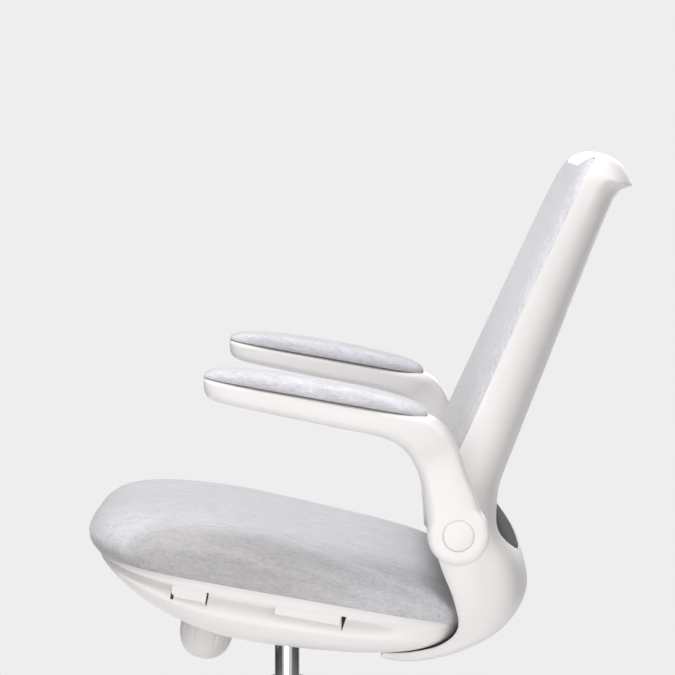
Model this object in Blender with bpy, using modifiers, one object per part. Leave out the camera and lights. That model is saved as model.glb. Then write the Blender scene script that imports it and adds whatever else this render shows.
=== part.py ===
"""Office task chair with flip-up arms, shown leaning back. Metres, +Z up, the sitter faces -Y."""

from math import cos, pi, radians, sin, tan

import bmesh
import bpy
from mathutils import Matrix, Vector

# facets of the column's round pieces
TUBE = 20

# fits
GAP = 0.0004
RUN = 0.0005

# tilt: the seat and back lean together about one pin, drawn upright and then leaned back
TILT_Y = -0.050
TILT_Z = 0.385
RECLINE = radians(10)
FULL_RECLINE = radians(17)

# five-star base and casters
LEGS = 5
LEG_REACH = 0.285
LEG_TIP_HALF = 0.0165
LEG_ROOT_HALF = 0.026
HUB_OUTER = 0.036
HUB_BOTTOM = 0.058
HUB_TOP = 0.120
LEG_TIP_LOW = 0.062
LEG_TIP_HIGH = 0.088
WHEEL_RADIUS = 0.025
WHEEL_WIDTH = 0.016
WHEEL_FACETS = 16
FORK_WEB = 0.018
BOSS_OF_STEM = 0.0082
CASTER_TRAIL = 0.020
STEM_RADIUS = 0.0055
STEM_TOP = 0.082
STEM_BOSS_TOP = 0.0605
AXLE_RADIUS = 0.0035
HOOD_WALL = 0.003

# gas lift
COLUMN_RADIUS = 0.025
COLUMN_WALL = 0.002
COLUMN_BOTTOM = 0.056
COLUMN_TOP = 0.275
COLUMN_TAPER = 0.0012
COLUMN_FLOOR = 0.006
BUSH_LENGTH = 0.055
BUSH_LIP = 0.003
GAS_RADIUS = 0.014
GAS_WALL = 0.0025
GAS_BOTTOM = 0.134
GAS_TAPER = 0.0006
ROD_RADIUS = 0.005
BEARING_RADIUS = 0.015
BEARING_HEIGHT = 0.008
PISTON_HEIGHT = 0.190
PISTON_THICK = 0.012
VALVE_RADIUS = 0.0028
VALVE_REACH = 0.007

# tilt mechanism
SHEET = 0.003
FLOOR_Z = 0.3445
HOUSING_HALF = 0.055
FLOOR_FRONT = -0.040
HOUSING_REAR = 0.075
HUB_HEIGHT = 0.029
HUB_WALL = 0.0035
LIP_Z = 0.372
LIP_FRONT = -0.125
LIP_HALF = 0.035
PIN_RADIUS = 0.005
PLATE_Z = 0.412
PLATE_HALF = 0.100
PLATE_FRONT = -0.128
PLATE_REAR = 0.162
EAR_RADIUS = 0.016
STUD_Y = -0.088
STUD_RADIUS = 0.004
KNOB_RADIUS = 0.031
KNOB_BOTTOM = 0.2935
KNOB_HEIGHT = 0.051
KNOB_WALL = 0.003
KNOB_FLUTES = 12
SPRING_RADIUS = 0.0165
SPRING_WIRE = 0.0042
SPRING_TURNS = 5
SPRING_TOP = 0.3600
LEVER_RADIUS = 0.004
LEVER_REACH = 0.250
LEVER_DROP = 0.066
PADDLE_LENGTH = 0.052
PADDLE_HALF = 0.018
PADDLE_THICK = 0.013
SLIDER_HALF = 0.010
SLIDER_LENGTH = 0.024
SADDLE_RIDGE = 0.003
SADDLE_DIP = 0.0022
BRACKET_HALF = 0.070
BOLT_RADIUS = 0.003
BOLT_HEAD = 0.004

# seat
SEAT_HALF = 0.240
SEAT_FRONT = -0.229
SEAT_REAR = 0.1985
SEAT_CENTRE = -0.010
NOSE_SQUARE = 4.4
REAR_SQUARE = 4.8
RIM_Z = 0.4305
RIM_BAND = 0.0145
PAN_DEPTH = 0.0745
PAN_WALL = 0.003
SCOOP = 0.008
CLIP_SUNK = 0.0012
LEDGE = 0.034
MOUTH_HALF = 0.116
MOUTH_FRONT = -0.140
MOUTH_REAR = 0.168
BOARD_THICK = 0.0116
BOARD_INSET = 0.017
BOARD_FRONT = -0.182
BOARD_REAR = 0.174
CUSHION_OVER = 0.009
CUSHION_NOSE = 0.0160
CUSHION_TOP = 0.4875
CUSHION_ROUND = 1.5
CUSHION_FALL = 0.060
CUSHION_NARROW = 0.075
CUSHION_REAR = 0.206

# back shell and its upholstery
BACK_Y = 0.170
BACK_Z = 0.640
BACK_SLOPE = 0.26
SHELL_WALL = 0.0045
TONGUE_Y = 0.120
PANEL_HALF = 0.184
PANEL_Z = 0.536
PANEL_HIGH = 0.037
PANEL_LAP = 0.007
PANEL_CLEAR = 0.0016
PANEL_WALL = 0.003
PAD_LOW = 0.522
PAD_CROWN = 0.014
PAD_BACK = 0.008
PAD_THIN = 0.75
THIN_BELOW = 0.610
BACK_BOARD = 0.005

# arms
ARM_X = 0.270
ARM_HALF = 0.034
LEG_INNER = 0.2405
LEG_OUTER = 0.297
ARM_SEAM = 0.6575
ARM_DEPTH = 0.0290
ARM_FRONT = -0.1330
ARM_REAR = 0.122
PIVOT_Y = 0.1780
PIVOT_Z = 0.534
BOSS_RADIUS = 0.0325
CAP_RADIUS = 0.0178
CAP_THICK = 0.003
AXLE_PIN = 0.009
PAD_HIGH = 0.0225


for old in list(bpy.data.objects):
    bpy.data.objects.remove(old, do_unlink=True)
parts = bpy.data.collections.new("task_chair")
cutters = bpy.data.collections.new("cutters")
bpy.context.scene.collection.children.link(parts)
bpy.context.scene.collection.children.link(cutters)


def finish(name, colour, rough, metal=0.0):
    """A Principled material."""
    made = bpy.data.materials.new(name)
    made.use_nodes = True
    shader = made.node_tree.nodes["Principled BSDF"]
    shader.inputs["Base Color"].default_value = (*colour, 1)
    shader.inputs["Roughness"].default_value = rough
    shader.inputs["Metallic"].default_value = metal
    return made


WHITE = finish("white_plastic", (0.80, 0.79, 0.77), 0.35)
FABRIC = finish("heather_fabric", (0.56, 0.56, 0.60), 0.95)
DARK = finish("dark_plastic", (0.07, 0.07, 0.075), 0.5)
CHROME = finish("chrome", (0.75, 0.75, 0.75), 0.12, 1.0)
STEEL = finish("black_steel", (0.03, 0.03, 0.03), 0.5, 0.6)
ZINC = finish("zinc_steel", (0.55, 0.55, 0.55), 0.35, 1.0)
TYRE = finish("grey_nylon", (0.30, 0.30, 0.31), 0.6)
PLY = finish("plywood", (0.50, 0.36, 0.20), 0.8)
NYLON = finish("black_nylon", (0.02, 0.02, 0.02), 0.45)
CAST = finish("cast_aluminium", (0.45, 0.45, 0.46), 0.5, 0.9)


def node(name, mesh, finish_of, parent=None, at=(0, 0, 0)):
    """One sub-part in the collection, drawn in its parent's frame."""
    made = bpy.data.objects.new(name, mesh)
    parts.objects.link(made)
    mesh.materials.clear()
    mesh.materials.append(finish_of)
    mesh.shade_smooth()
    mesh.set_sharp_from_angle(angle=radians(35))
    made.location = at
    if parent:
        made.parent = parent
    return made


def axis_at(name, place, parent=None, turn=(0, 0, 0)):
    """An empty on a joint's axis."""
    made = bpy.data.objects.new(name, None)
    parts.objects.link(made)
    made.location = place
    made.rotation_euler = turn
    made.parent = parent
    return made


def from_bmesh(bm, name):
    bmesh.ops.recalc_face_normals(bm, faces=bm.faces)
    mesh = bpy.data.meshes.new(name)
    bm.to_mesh(mesh)
    bm.free()
    return mesh


def stacked(rings, name):
    """A closed solid through rings of points, ended by fans."""
    bm = bmesh.new()
    loops = [[bm.verts.new(point) for point in ring] for ring in rings]
    count = len(loops[0])
    for low, high in zip(loops, loops[1:]):
        for i in range(count):
            j = (i + 1) % count
            bm.faces.new((low[i], low[j], high[j], high[i]))
    for loop in (loops[0], loops[-1]):
        middle = bm.verts.new(sum((v.co for v in loop), Vector()) / count)
        for i in range(count):
            bm.faces.new((loop[i], loop[(i + 1) % count], middle))
    return from_bmesh(bm, name)


def skin(rows, name, round_row=False):
    """An open surface through rows of points, for a Solidify."""
    bm = bmesh.new()
    lines = [[bm.verts.new(point) for point in row] for row in rows]
    count = len(lines[0])
    for low, high in zip(lines, lines[1:]):
        for i in range(count if round_row else count - 1):
            j = (i + 1) % count
            bm.faces.new((low[i], low[j], high[j], high[i]))
    return from_bmesh(bm, name)


def turned(profile, name, facets=32, lie=None):
    """A solid of revolution about Z: radius and height pairs, closed back to the start."""
    bm = bmesh.new()
    verts = [bm.verts.new((radius, 0, height)) for radius, height in profile]
    edges = [bm.edges.new((a, b)) for a, b in zip(verts, verts[1:] + verts[:1])]
    for edge in list(edges):
        if all(v.co.x < 1e-6 for v in edge.verts):
            bm.edges.remove(edge)
            edges.remove(edge)
    middle, up = (0, 0, 0), (0, 0, 1)
    bmesh.ops.spin(bm, geom=verts + edges, cent=middle, axis=up, angle=2 * pi, steps=facets, use_merge=True)
    bmesh.ops.remove_doubles(bm, verts=bm.verts, dist=1e-6)
    if lie:
        bmesh.ops.transform(bm, matrix=lie, verts=bm.verts)
    return from_bmesh(bm, name)


def rod(radius, low, high, name, facets=20, lie=None):
    return turned([(0, high), (radius, high), (radius, low), (0, low)], name, facets, lie)


def prism(outline, low, high, name, lie=None):
    """A flat outline given in X and Y, raised from low to high."""
    bm = bmesh.new()
    face = bm.faces.new([bm.verts.new((x, y, low)) for x, y in outline])
    raised = bmesh.ops.extrude_face_region(bm, geom=[face])["geom"]
    lift = [item for item in raised if isinstance(item, bmesh.types.BMVert)]
    bmesh.ops.translate(bm, verts=lift, vec=(0, 0, high - low))
    if lie:
        bmesh.ops.transform(bm, matrix=lie, verts=bm.verts)
    return from_bmesh(bm, name)


def block(low, high, name):
    outline = [(low[0], low[1]), (high[0], low[1]), (high[0], high[1]), (low[0], high[1])]
    return prism(outline, low[2], high[2], name)


# outlines drawn in Y and Z and raised along X, and turnings laid along X
ALONG_X = Matrix(((0, 0, 1, 0), (1, 0, 0, 0), (0, 1, 0, 0), (0, 0, 0, 1)))


def cutter(mesh, name):
    made = bpy.data.objects.new(name, mesh)
    cutters.objects.link(made)
    made.hide_render = True
    made.display_type = "WIRE"
    return made


def combine(mesh, tools, name):
    """A mesh with others joined to it or cut from it, in turn; each tool is an operation and a mesh."""
    work = bpy.data.objects.new(name, mesh)
    cutters.objects.link(work)
    for count, (operation, tool) in enumerate(tools):
        step = work.modifiers.new(f"step_{count}", "BOOLEAN")
        step.operation = operation
        step.object = cutter(tool, f"{name}_tool_{count}")
    bpy.context.view_layer.update()
    ready = work.evaluated_get(bpy.context.evaluated_depsgraph_get())
    made = bpy.data.meshes.new_from_object(ready)
    work.hide_render = True
    work.display_type = "WIRE"
    return made


def thickened(rows, wall, name, round_row=False, inward=-1):
    """The solid wall of an open surface."""
    work = bpy.data.objects.new(name + "_skin", skin(rows, name + "_skin", round_row))
    cutters.objects.link(work)
    work.hide_render = True
    work.display_type = "WIRE"
    shell = work.modifiers.new("wall", "SOLIDIFY")
    shell.thickness = wall
    shell.offset = inward
    shell.use_even_offset = True
    shell.thickness_clamp = 0
    bpy.context.view_layer.update()
    ready = work.evaluated_get(bpy.context.evaluated_depsgraph_get())
    return bpy.data.meshes.new_from_object(ready)


def eased(points, share):
    """The point at a share of the way through a smooth curve through hand-set points."""
    last = len(points) - 1
    spot = min(max(share, 0), 1) * last
    i = min(int(spot), last - 1)
    t = spot - i
    a, b, c, d = (points[min(max(i + k, 0), last)] for k in (-1, 0, 1, 2))
    return tuple(
        0.5 * (2 * q + (r - p) * t + (2 * p - 5 * q + 4 * r - s) * t * t + (3 * q - p - 3 * r + s) * t**3)
        for p, q, r, s in zip(a, b, c, d)
    )


def oval(angle, half, front, rear, centre, front_square, rear_square):
    """A seat outline: a superellipse with its own front and rear."""
    c, s = cos(angle), sin(angle)
    square = rear_square if s > 0 else front_square
    reach = rear - centre if s > 0 else centre - front
    x = half * abs(c) ** (2 / square) * (1 if c > 0 else -1)
    y = centre + reach * abs(s) ** (2 / square) * (1 if s > 0 else -1)
    return x, y


# root frames
base_axis = axis_at("base_axis", (0, 0, 0))
column_axis = axis_at("column_axis", (0, 0, 0), base_axis)
tilt_axis = axis_at("tilt_axis", (0, TILT_Y, TILT_Z), column_axis, (-RECLINE, 0, 0))
upright = axis_at("upright_frame", (0, -TILT_Y, -TILT_Z), tilt_axis)


def base_star():
    """Moulded hub with five tapering arms, each ending in a caster socket."""
    stations = (
        (HUB_OUTER - 0.008, LEG_ROOT_HALF * 0.8, HUB_BOTTOM + 0.012, HUB_TOP - 0.007),
        (LEG_REACH * 0.316, LEG_TIP_HALF + 0.007, HUB_BOTTOM + 0.013, HUB_TOP - 0.009),
        (LEG_REACH * 0.632, LEG_TIP_HALF + 0.003, HUB_BOTTOM + 0.012, HUB_TOP - 0.018),
        (LEG_REACH - 0.020, LEG_TIP_HALF, LEG_TIP_LOW, LEG_TIP_HIGH + 0.002),
        (LEG_REACH + 0.008, LEG_TIP_HALF, LEG_TIP_LOW, LEG_TIP_HIGH - 0.001),
        (LEG_REACH + 0.017, LEG_TIP_HALF * 0.55, LEG_TIP_LOW + 0.001, LEG_TIP_HIGH - 0.006),
    )
    tools = []
    for leg in range(LEGS):
        turn = Matrix.Rotation(pi / 2 + 2 * pi * leg / LEGS, 4, "Z")
        rings = []
        for reach, half, low, high in stations:
            crown = high - half * 0.45
            ridge = half * 0.6
            ring = [(-half, low), (half, low), (half, crown), (ridge, high), (-ridge, high), (-half, crown)]
            rings.append([turn @ Vector((reach, x, z)) for x, z in ring])
        tools.append(("UNION", stacked(rings, f"leg_{leg}")))
    for leg in range(LEGS):
        turn = Matrix.Rotation(pi / 2 + 2 * pi * leg / LEGS, 4, "Z")
        place = turn @ Matrix.Translation((LEG_REACH, 0, 0))
        socket = rod(STEM_RADIUS + GAP, LEG_TIP_LOW - 0.01, STEM_TOP + GAP, f"socket_{leg}", 10, place)
        tools.append(("DIFFERENCE", socket))
    hub = [
        (0, HUB_TOP),
        (HUB_OUTER - 0.004, HUB_TOP),
        (HUB_OUTER, HUB_TOP - 0.004),
        (HUB_OUTER, HUB_BOTTOM),
        (0, HUB_BOTTOM),
    ]
    low = COLUMN_RADIUS - COLUMN_TAPER + GAP
    high = COLUMN_RADIUS + GAP
    bore = [(0, HUB_TOP + 0.01), (high, HUB_TOP + 0.01), (high, HUB_TOP), (low, HUB_BOTTOM)]
    bore += [(low, COLUMN_BOTTOM - 0.01), (0, COLUMN_BOTTOM - 0.01)]
    tools.append(("DIFFERENCE", turned(bore, "hub_bore", TUBE)))
    mesh = combine(turned(hub, "hub", TUBE), tools, "star_work")
    node("base_star", mesh, WHITE, base_axis)


def column():
    """Outer column pressed in the hub, with its guide bush and thrust bearing."""
    outer, inner = COLUMN_RADIUS, COLUMN_RADIUS - COLUMN_WALL
    foot = outer - COLUMN_TAPER
    profile = [
        (inner, COLUMN_TOP),
        (outer, COLUMN_TOP),
        (outer, HUB_TOP),
        (foot, HUB_BOTTOM),
        (foot, COLUMN_BOTTOM),
        (ROD_RADIUS + RUN, COLUMN_BOTTOM),
        (ROD_RADIUS + RUN, COLUMN_BOTTOM + COLUMN_FLOOR),
        (foot - COLUMN_WALL, COLUMN_BOTTOM + COLUMN_FLOOR),
        (inner, HUB_TOP),
    ]
    node("column_tube", turned(profile, "column_tube", TUBE), STEEL, base_axis)
    bore = GAS_RADIUS + GAP
    bush = [
        (bore, COLUMN_TOP + BUSH_LIP),
        (outer - 0.002, COLUMN_TOP + BUSH_LIP),
        (outer, COLUMN_TOP + BUSH_LIP * 0.5),
        (outer, COLUMN_TOP + GAP),
        (inner - GAP, COLUMN_TOP + GAP),
        (inner - GAP, COLUMN_TOP - BUSH_LENGTH),
        (bore, COLUMN_TOP - BUSH_LENGTH),
    ]
    node("guide_bush", turned(bush, "guide_bush", TUBE), NYLON, base_axis)
    low = COLUMN_BOTTOM + COLUMN_FLOOR + GAP
    bearing = [
        (ROD_RADIUS + RUN, low + BEARING_HEIGHT),
        (BEARING_RADIUS, low + BEARING_HEIGHT),
        (BEARING_RADIUS, low),
        (ROD_RADIUS + RUN, low),
    ]
    node("thrust_bearing", turned(bearing, "thrust_bearing", TUBE), ZINC, base_axis)


def piston():
    """Rod clipped to the column's floor, carrying the piston inside the gas tube."""
    shoulder = COLUMN_BOTTOM + COLUMN_FLOOR + BEARING_HEIGHT + 2 * GAP
    bore = GAS_RADIUS - GAS_WALL
    profile = [
        (0, PISTON_HEIGHT + PISTON_THICK),
        (bore - GAP, PISTON_HEIGHT + PISTON_THICK),
        (bore - GAP, PISTON_HEIGHT),
        (ROD_RADIUS, PISTON_HEIGHT),
        (ROD_RADIUS, shoulder + 0.004),
        (ROD_RADIUS + 0.004, shoulder + 0.004),
        (ROD_RADIUS + 0.004, shoulder),
        (ROD_RADIUS, shoulder),
        (ROD_RADIUS, COLUMN_BOTTOM - 0.006),
        (0, COLUMN_BOTTOM - 0.006),
    ]
    node("piston_rod", turned(profile, "piston_rod", TUBE), ZINC, column_axis)
    clip_top = COLUMN_BOTTOM - GAP
    clip = [
        (ROD_RADIUS + GAP, clip_top),
        (ROD_RADIUS + 0.006, clip_top),
        (ROD_RADIUS + 0.006, clip_top - 0.002),
        (ROD_RADIUS + GAP, clip_top - 0.002),
    ]
    node("column_clip", turned(clip, "column_clip", TUBE), STEEL, column_axis)


HUB_Z = FLOOR_Z + HUB_HEIGHT
GAS_TOP = HUB_Z - 0.0015


def gas_cylinder():
    """Chromed tube with a tapered head, open to the rod below and to the valve pin above."""
    bore = GAS_RADIUS - GAS_WALL
    head = GAS_TOP - 0.020
    tip = GAS_RADIUS - GAS_TAPER
    profile = [
        (VALVE_RADIUS + GAP, GAS_TOP),
        (tip - 0.001, GAS_TOP),
        (tip, GAS_TOP - 0.001),
        (GAS_RADIUS, FLOOR_Z),
        (GAS_RADIUS, GAS_BOTTOM + 0.001),
        (GAS_RADIUS - 0.001, GAS_BOTTOM),
        (ROD_RADIUS + RUN, GAS_BOTTOM),
        (ROD_RADIUS + RUN, GAS_BOTTOM + 0.010),
        (bore, GAS_BOTTOM + 0.010),
        (bore, head),
        (VALVE_RADIUS + GAP, head),
    ]
    node("gas_cylinder", turned(profile, "gas_cylinder", TUBE), CHROME, column_axis)
    pin = rod(VALVE_RADIUS, GAS_TOP - 0.010, GAS_TOP + VALVE_REACH, "valve_pin", 14)
    node("valve_pin", pin, ZINC, column_axis)


LEVER_Z = GAS_TOP + VALVE_REACH + GAP + LEVER_RADIUS
FULCRUM_X = -(HOUSING_HALF - 0.002)


def housing():
    """Pressed bracket: a floor, two cheeks for the tilt pin, a front lip and the hub on the gas tube."""
    slope = tan(FULL_RECLINE)
    clear = 0.004

    def cheek_top(y):
        """Height just under the tilt plate when it is fully back."""
        return TILT_Z + (PLATE_Z - TILT_Z) / cos(FULL_RECLINE) - (y - TILT_Y) * slope - clear

    cheek = [
        (FLOOR_FRONT, FLOOR_Z),
        (HOUSING_REAR, FLOOR_Z),
        (HOUSING_REAR, cheek_top(HOUSING_REAR)),
        (TILT_Y + EAR_RADIUS, cheek_top(TILT_Y + EAR_RADIUS)),
        (TILT_Y, TILT_Z + EAR_RADIUS),
        (TILT_Y - EAR_RADIUS, TILT_Z + EAR_RADIUS * 0.6),
        (TILT_Y - EAR_RADIUS, LIP_Z),
    ]
    wide = HOUSING_HALF
    floor = block((-wide, FLOOR_FRONT, FLOOR_Z), (wide, HOUSING_REAR, FLOOR_Z + SHEET), "floor")
    front = block((-wide, FLOOR_FRONT, FLOOR_Z), (wide, FLOOR_FRONT + SHEET, LIP_Z + SHEET), "front")
    lip = block((-LIP_HALF, LIP_FRONT, LIP_Z), (LIP_HALF, FLOOR_FRONT + SHEET, LIP_Z + SHEET), "lip")
    sleeve = rod(GAS_RADIUS + HUB_WALL, FLOOR_Z, HUB_Z, "sleeve", TUBE)
    low = GAS_RADIUS + GAP
    high = GAS_RADIUS - GAS_TAPER + GAP
    bore = [(0, HUB_Z + 0.01), (high, HUB_Z + 0.01), (high, GAS_TOP), (low, FLOOR_Z), (low, FLOOR_Z - 0.01)]
    bore.append((0, FLOOR_Z - 0.01))
    pin_line = Matrix.Translation((0, TILT_Y, TILT_Z)) @ ALONG_X
    slot_half = STUD_RADIUS + 0.008
    slot_wide = STUD_RADIUS + 0.003
    slot_low = (-slot_wide, STUD_Y - slot_half, LIP_Z - 0.01)
    slot = block(slot_low, (slot_wide, STUD_Y + slot_half, LIP_Z + 0.01), "slot")
    side = SLIDER_HALF + RUN
    window_low = (-wide - 0.01, -side, FLOOR_Z + SHEET)
    window = block(window_low, (-wide + SHEET + 0.004, side, TILT_Z + 0.03), "window")
    tools = [
        ("UNION", prism(cheek, wide - SHEET, wide, "cheek_a", ALONG_X)),
        ("UNION", prism(cheek, -wide, SHEET - wide, "cheek_b", ALONG_X)),
        ("UNION", front),
        ("UNION", lip),
        ("UNION", sleeve),
        ("DIFFERENCE", turned(bore, "taper", TUBE)),
        ("DIFFERENCE", rod(PIN_RADIUS + GAP, -0.1, 0.1, "pin_hole", 16, pin_line)),
        ("DIFFERENCE", slot),
        ("DIFFERENCE", window),
    ]
    node("mechanism_housing", combine(floor, tools, "housing_work"), STEEL, column_axis)
    ear = wide + RUN + SHEET
    head = PIN_RADIUS + 0.003
    pin = [
        (0, ear + GAP + 0.002),
        (head, ear + GAP + 0.002),
        (head, ear + GAP),
        (PIN_RADIUS, ear + GAP),
        (PIN_RADIUS, -ear - GAP),
        (head, -ear - GAP),
        (head, -ear - GAP - 0.002),
        (0, -ear - GAP - 0.002),
    ]
    node("tilt_pin", turned(pin, "tilt_pin", 14, pin_line), ZINC, column_axis)


def lever():
    """Height lever: a bent rod rocking on a sliding saddle, which is pulled out to free the tilt."""
    half = SLIDER_HALF
    notch = LEVER_RADIUS + RUN
    low = FLOOR_Z + SHEET + GAP
    seat = LEVER_Z - LEVER_RADIUS - GAP
    top = LEVER_Z + LEVER_RADIUS
    saddle = [
        (-half, low),
        (half, low),
        (half, top),
        (notch, top),
        (notch, seat),
        (-notch, seat),
        (-notch, top),
        (-half, top),
    ]
    inner = FULCRUM_X + SLIDER_LENGTH
    slider_axis = axis_at("lock_axis", (FULCRUM_X, 0, LEVER_Z), column_axis)
    away = Matrix.Translation((-FULCRUM_X, 0, -LEVER_Z))
    ridge = FULCRUM_X + SADDLE_RIDGE
    dip = block((ridge, -notch, seat - SADDLE_DIP), (inner + 0.001, notch, top + 0.001), "saddle_dip")
    whole = prism(saddle, FULCRUM_X, inner, "saddle", ALONG_X)
    mesh = combine(whole, [("DIFFERENCE", dip)], "saddle_work")
    mesh.transform(away)
    node("lock_slider", mesh, NYLON, slider_axis)
    end_z = LEVER_Z - LEVER_DROP
    bend = -MOUTH_HALF
    path = [
        (0.018, LEVER_Z),
        (FULCRUM_X - 0.004, LEVER_Z),
        (FULCRUM_X - 0.017, LEVER_Z - 0.008),
        (bend + 0.028, end_z + 0.016),
        (bend + 0.014, end_z + 0.003),
        (bend, end_z),
        (-LEVER_REACH, end_z),
    ]
    line = bpy.data.curves.new("lever_line", "CURVE")
    line.dimensions = "3D"
    line.bevel_depth = LEVER_RADIUS
    line.bevel_resolution = 2
    line.use_fill_caps = True
    spline = line.splines.new("POLY")
    spline.points.add(len(path) - 1)
    for spot, (x, z) in zip(spline.points, path):
        spot.co = (x - FULCRUM_X, 0, z - LEVER_Z, 1)
    wire = bpy.data.objects.new("lever_rod", line)
    parts.objects.link(wire)
    line.materials.append(STEEL)
    wire.parent = slider_axis
    lie = Matrix.Translation((0, 0, end_z)) @ ALONG_X
    far = -LEVER_REACH - PADDLE_LENGTH + 0.022
    near = -LEVER_REACH + 0.022
    rings = []
    for share, grow in ((0, 0.55), (0.06, 0.85), (0.2, 1), (0.75, 0.9), (1, 0.5)):
        x = far + (near - far) * share
        y = PADDLE_HALF * grow
        z = PADDLE_THICK / 2 * (0.6 + 0.4 * grow)
        ring = [(-y, -z * 0.5), (-y * 0.8, -z), (y * 0.8, -z), (y, -z * 0.5)]
        ring += [(y, z * 0.5), (y * 0.8, z), (-y * 0.8, z), (-y, z * 0.5)]
        rings.append([Vector((x, a, end_z + b)) for a, b in ring])
    socket = rod(LEVER_RADIUS + GAP, -LEVER_REACH - GAP, 0, "paddle_socket", 12, lie)
    mesh = combine(stacked(rings, "paddle"), [("DIFFERENCE", socket)], "paddle_work")
    mesh.transform(away)
    node("lever_paddle", mesh, NYLON, slider_axis)


def tilt_plate():
    """Pressed plate under the seat, with two ears that hang on the tilt pin."""
    inner = HOUSING_HALF + RUN
    ear = [(TILT_Y - 0.034, PLATE_Z + SHEET), (TILT_Y - 0.034, PLATE_Z - 0.006)]
    for step in range(7):
        angle = pi + pi * step / 6
        ear.append((TILT_Y + EAR_RADIUS * cos(angle), TILT_Z + EAR_RADIUS * sin(angle)))
    ear += [(TILT_Y + 0.034, PLATE_Z - 0.006), (TILT_Y + 0.034, PLATE_Z + SHEET)]
    top = PLATE_Z + SHEET
    flat = block((-PLATE_HALF, PLATE_FRONT, PLATE_Z), (PLATE_HALF, PLATE_REAR, top), "flat")
    pin_line = Matrix.Translation((0, TILT_Y, TILT_Z)) @ ALONG_X
    tools = [
        ("UNION", prism(ear, inner, inner + SHEET, "ear_a", ALONG_X)),
        ("UNION", prism(ear, -inner - SHEET, -inner, "ear_b", ALONG_X)),
        ("DIFFERENCE", rod(PIN_RADIUS + GAP, -0.1, 0.1, "ear_hole", 16, pin_line)),
    ]
    for spot in SEAT_BOLTS + BACK_BOLTS:
        lie = Matrix.Translation((*spot, 0))
        hole = rod(BOLT_RADIUS + GAP, PLATE_Z - 0.01, top + 0.01, "bolt_hole", 8, lie)
        tools.append(("DIFFERENCE", hole))
    node("tilt_plate", combine(flat, tools, "plate_work"), STEEL, upright)


SEAT_BOLTS = [(x, y) for x in (-0.080, 0.080) for y in (-0.105, 0.050)]
BACK_BOLTS = [(x, 0.143) for x in (-0.050, 0.0, 0.050)]
BOARD_TOP = RIM_Z - PAN_WALL - GAP
BOARD_LOW = BOARD_TOP - BOARD_THICK


def tension():
    """Tension stud under the plate, the coil round it, and the fluted knob that holds the coil up."""
    floor = KNOB_BOTTOM + 0.010
    lie = Matrix.Translation((0, STUD_Y, 0))
    stud = rod(STUD_RADIUS, KNOB_BOTTOM + 0.006, PLATE_Z - GAP, "tension_stud", 16, lie)
    node("tension_stud", stud, ZINC, upright)
    rings = []
    outer, inner = KNOB_RADIUS, KNOB_RADIUS - KNOB_WALL
    top = KNOB_BOTTOM + KNOB_HEIGHT
    flare = ((0.30, 0.0008), (0.58, 0.0048), (0.75, 0.0095), (0.88, 0.0165), (0.97, 0.026), (1.0, 0.036))
    flare += ((0.985, 0.046), (0.95, KNOB_HEIGHT))
    outline = [(outer * share, KNOB_BOTTOM + rise, share > 0.7) for share, rise in flare]
    outline += [(inner - 0.002, top, False), (inner - 0.002, floor + 0.014, False)]
    outline.append((inner * 0.70, floor, False))
    outline += [(STUD_RADIUS + GAP, floor, False), (STUD_RADIUS + GAP, KNOB_BOTTOM, False)]
    facets = KNOB_FLUTES * 2
    for radius, height, fluted in outline:
        ring = []
        for step in range(facets):
            angle = 2 * pi * step / facets
            r = radius * (1 - 0.022 * (1 - cos(KNOB_FLUTES * angle))) if fluted else radius
            ring.append((r * cos(angle), STUD_Y + r * sin(angle), height))
        rings.append(ring)
    rings.append(rings[0])
    bm = bmesh.new()
    loops = [[bm.verts.new(point) for point in ring] for ring in rings[:-1]]
    loops.append(loops[0])
    for low, high in zip(loops, loops[1:]):
        for i in range(facets):
            j = (i + 1) % facets
            bm.faces.new((low[i], low[j], high[j], high[i]))
    node("tension_knob", from_bmesh(bm, "tension_knob"), WHITE, upright)
    coil = bpy.data.curves.new("tension_spring", "CURVE")
    coil.dimensions = "3D"
    coil.bevel_depth = SPRING_WIRE / 2
    coil.bevel_resolution = 1
    coil.use_fill_caps = True
    spline = coil.splines.new("POLY")
    per_turn = 10
    count = SPRING_TURNS * per_turn
    spline.points.add(count)
    low = floor + SPRING_WIRE / 2 + GAP
    high = SPRING_TOP - SPRING_WIRE / 2
    for step, spot in enumerate(spline.points):
        angle = 2 * pi * step / per_turn
        rise = low + (high - low) * step / count
        spot.co = (SPRING_RADIUS * cos(angle), STUD_Y + SPRING_RADIUS * sin(angle), rise, 1)
    turns = [spot.co.xyz for spot in spline.points]
    apart = min((b - a).length for i, a in enumerate(turns) for b in turns[i + per_turn // 2 :])
    print(f"least gap between the spring's turns: {(apart - SPRING_WIRE) * 1000:.2f} mm")
    coil.materials.append(ZINC)
    spring = bpy.data.objects.new("tension_spring", coil)
    parts.objects.link(spring)
    spring.parent = upright


def bolt(name, place, head_z, tip_z):
    """Hex bolt from below."""
    lie = Matrix.Translation((*place, 0))
    head = BOLT_RADIUS * 1.9
    bottom = head_z - BOLT_HEAD
    body = rod(head, bottom, head_z, name + "_head", 6, lie)
    shank = rod(BOLT_RADIUS, bottom + BOLT_HEAD / 2, tip_z, name + "_shank", 8, lie)
    node(name, combine(body, [("UNION", shank)], name + "_work"), ZINC, upright)


def keel(y):
    """Depth of the pan along the seat, as a share of its full depth: raked in front, round behind."""
    deepest = SEAT_CENTRE - 0.020
    if y < deepest:
        return max(0, 1 - ((y - deepest) / (SEAT_FRONT - deepest)) ** 2) ** 0.72
    return max(0, 1 - ((y - deepest) / (SEAT_REAR - deepest)) ** 2.2) ** 0.5


def seat_rim(angle, inset=0.0):
    shrink = 1 - inset / SEAT_HALF
    half, front, rear = SEAT_HALF * shrink, SEAT_FRONT * shrink, SEAT_REAR * shrink
    return oval(angle, half, front, rear, SEAT_CENTRE * shrink, NOSE_SQUARE, REAR_SQUARE)


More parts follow.
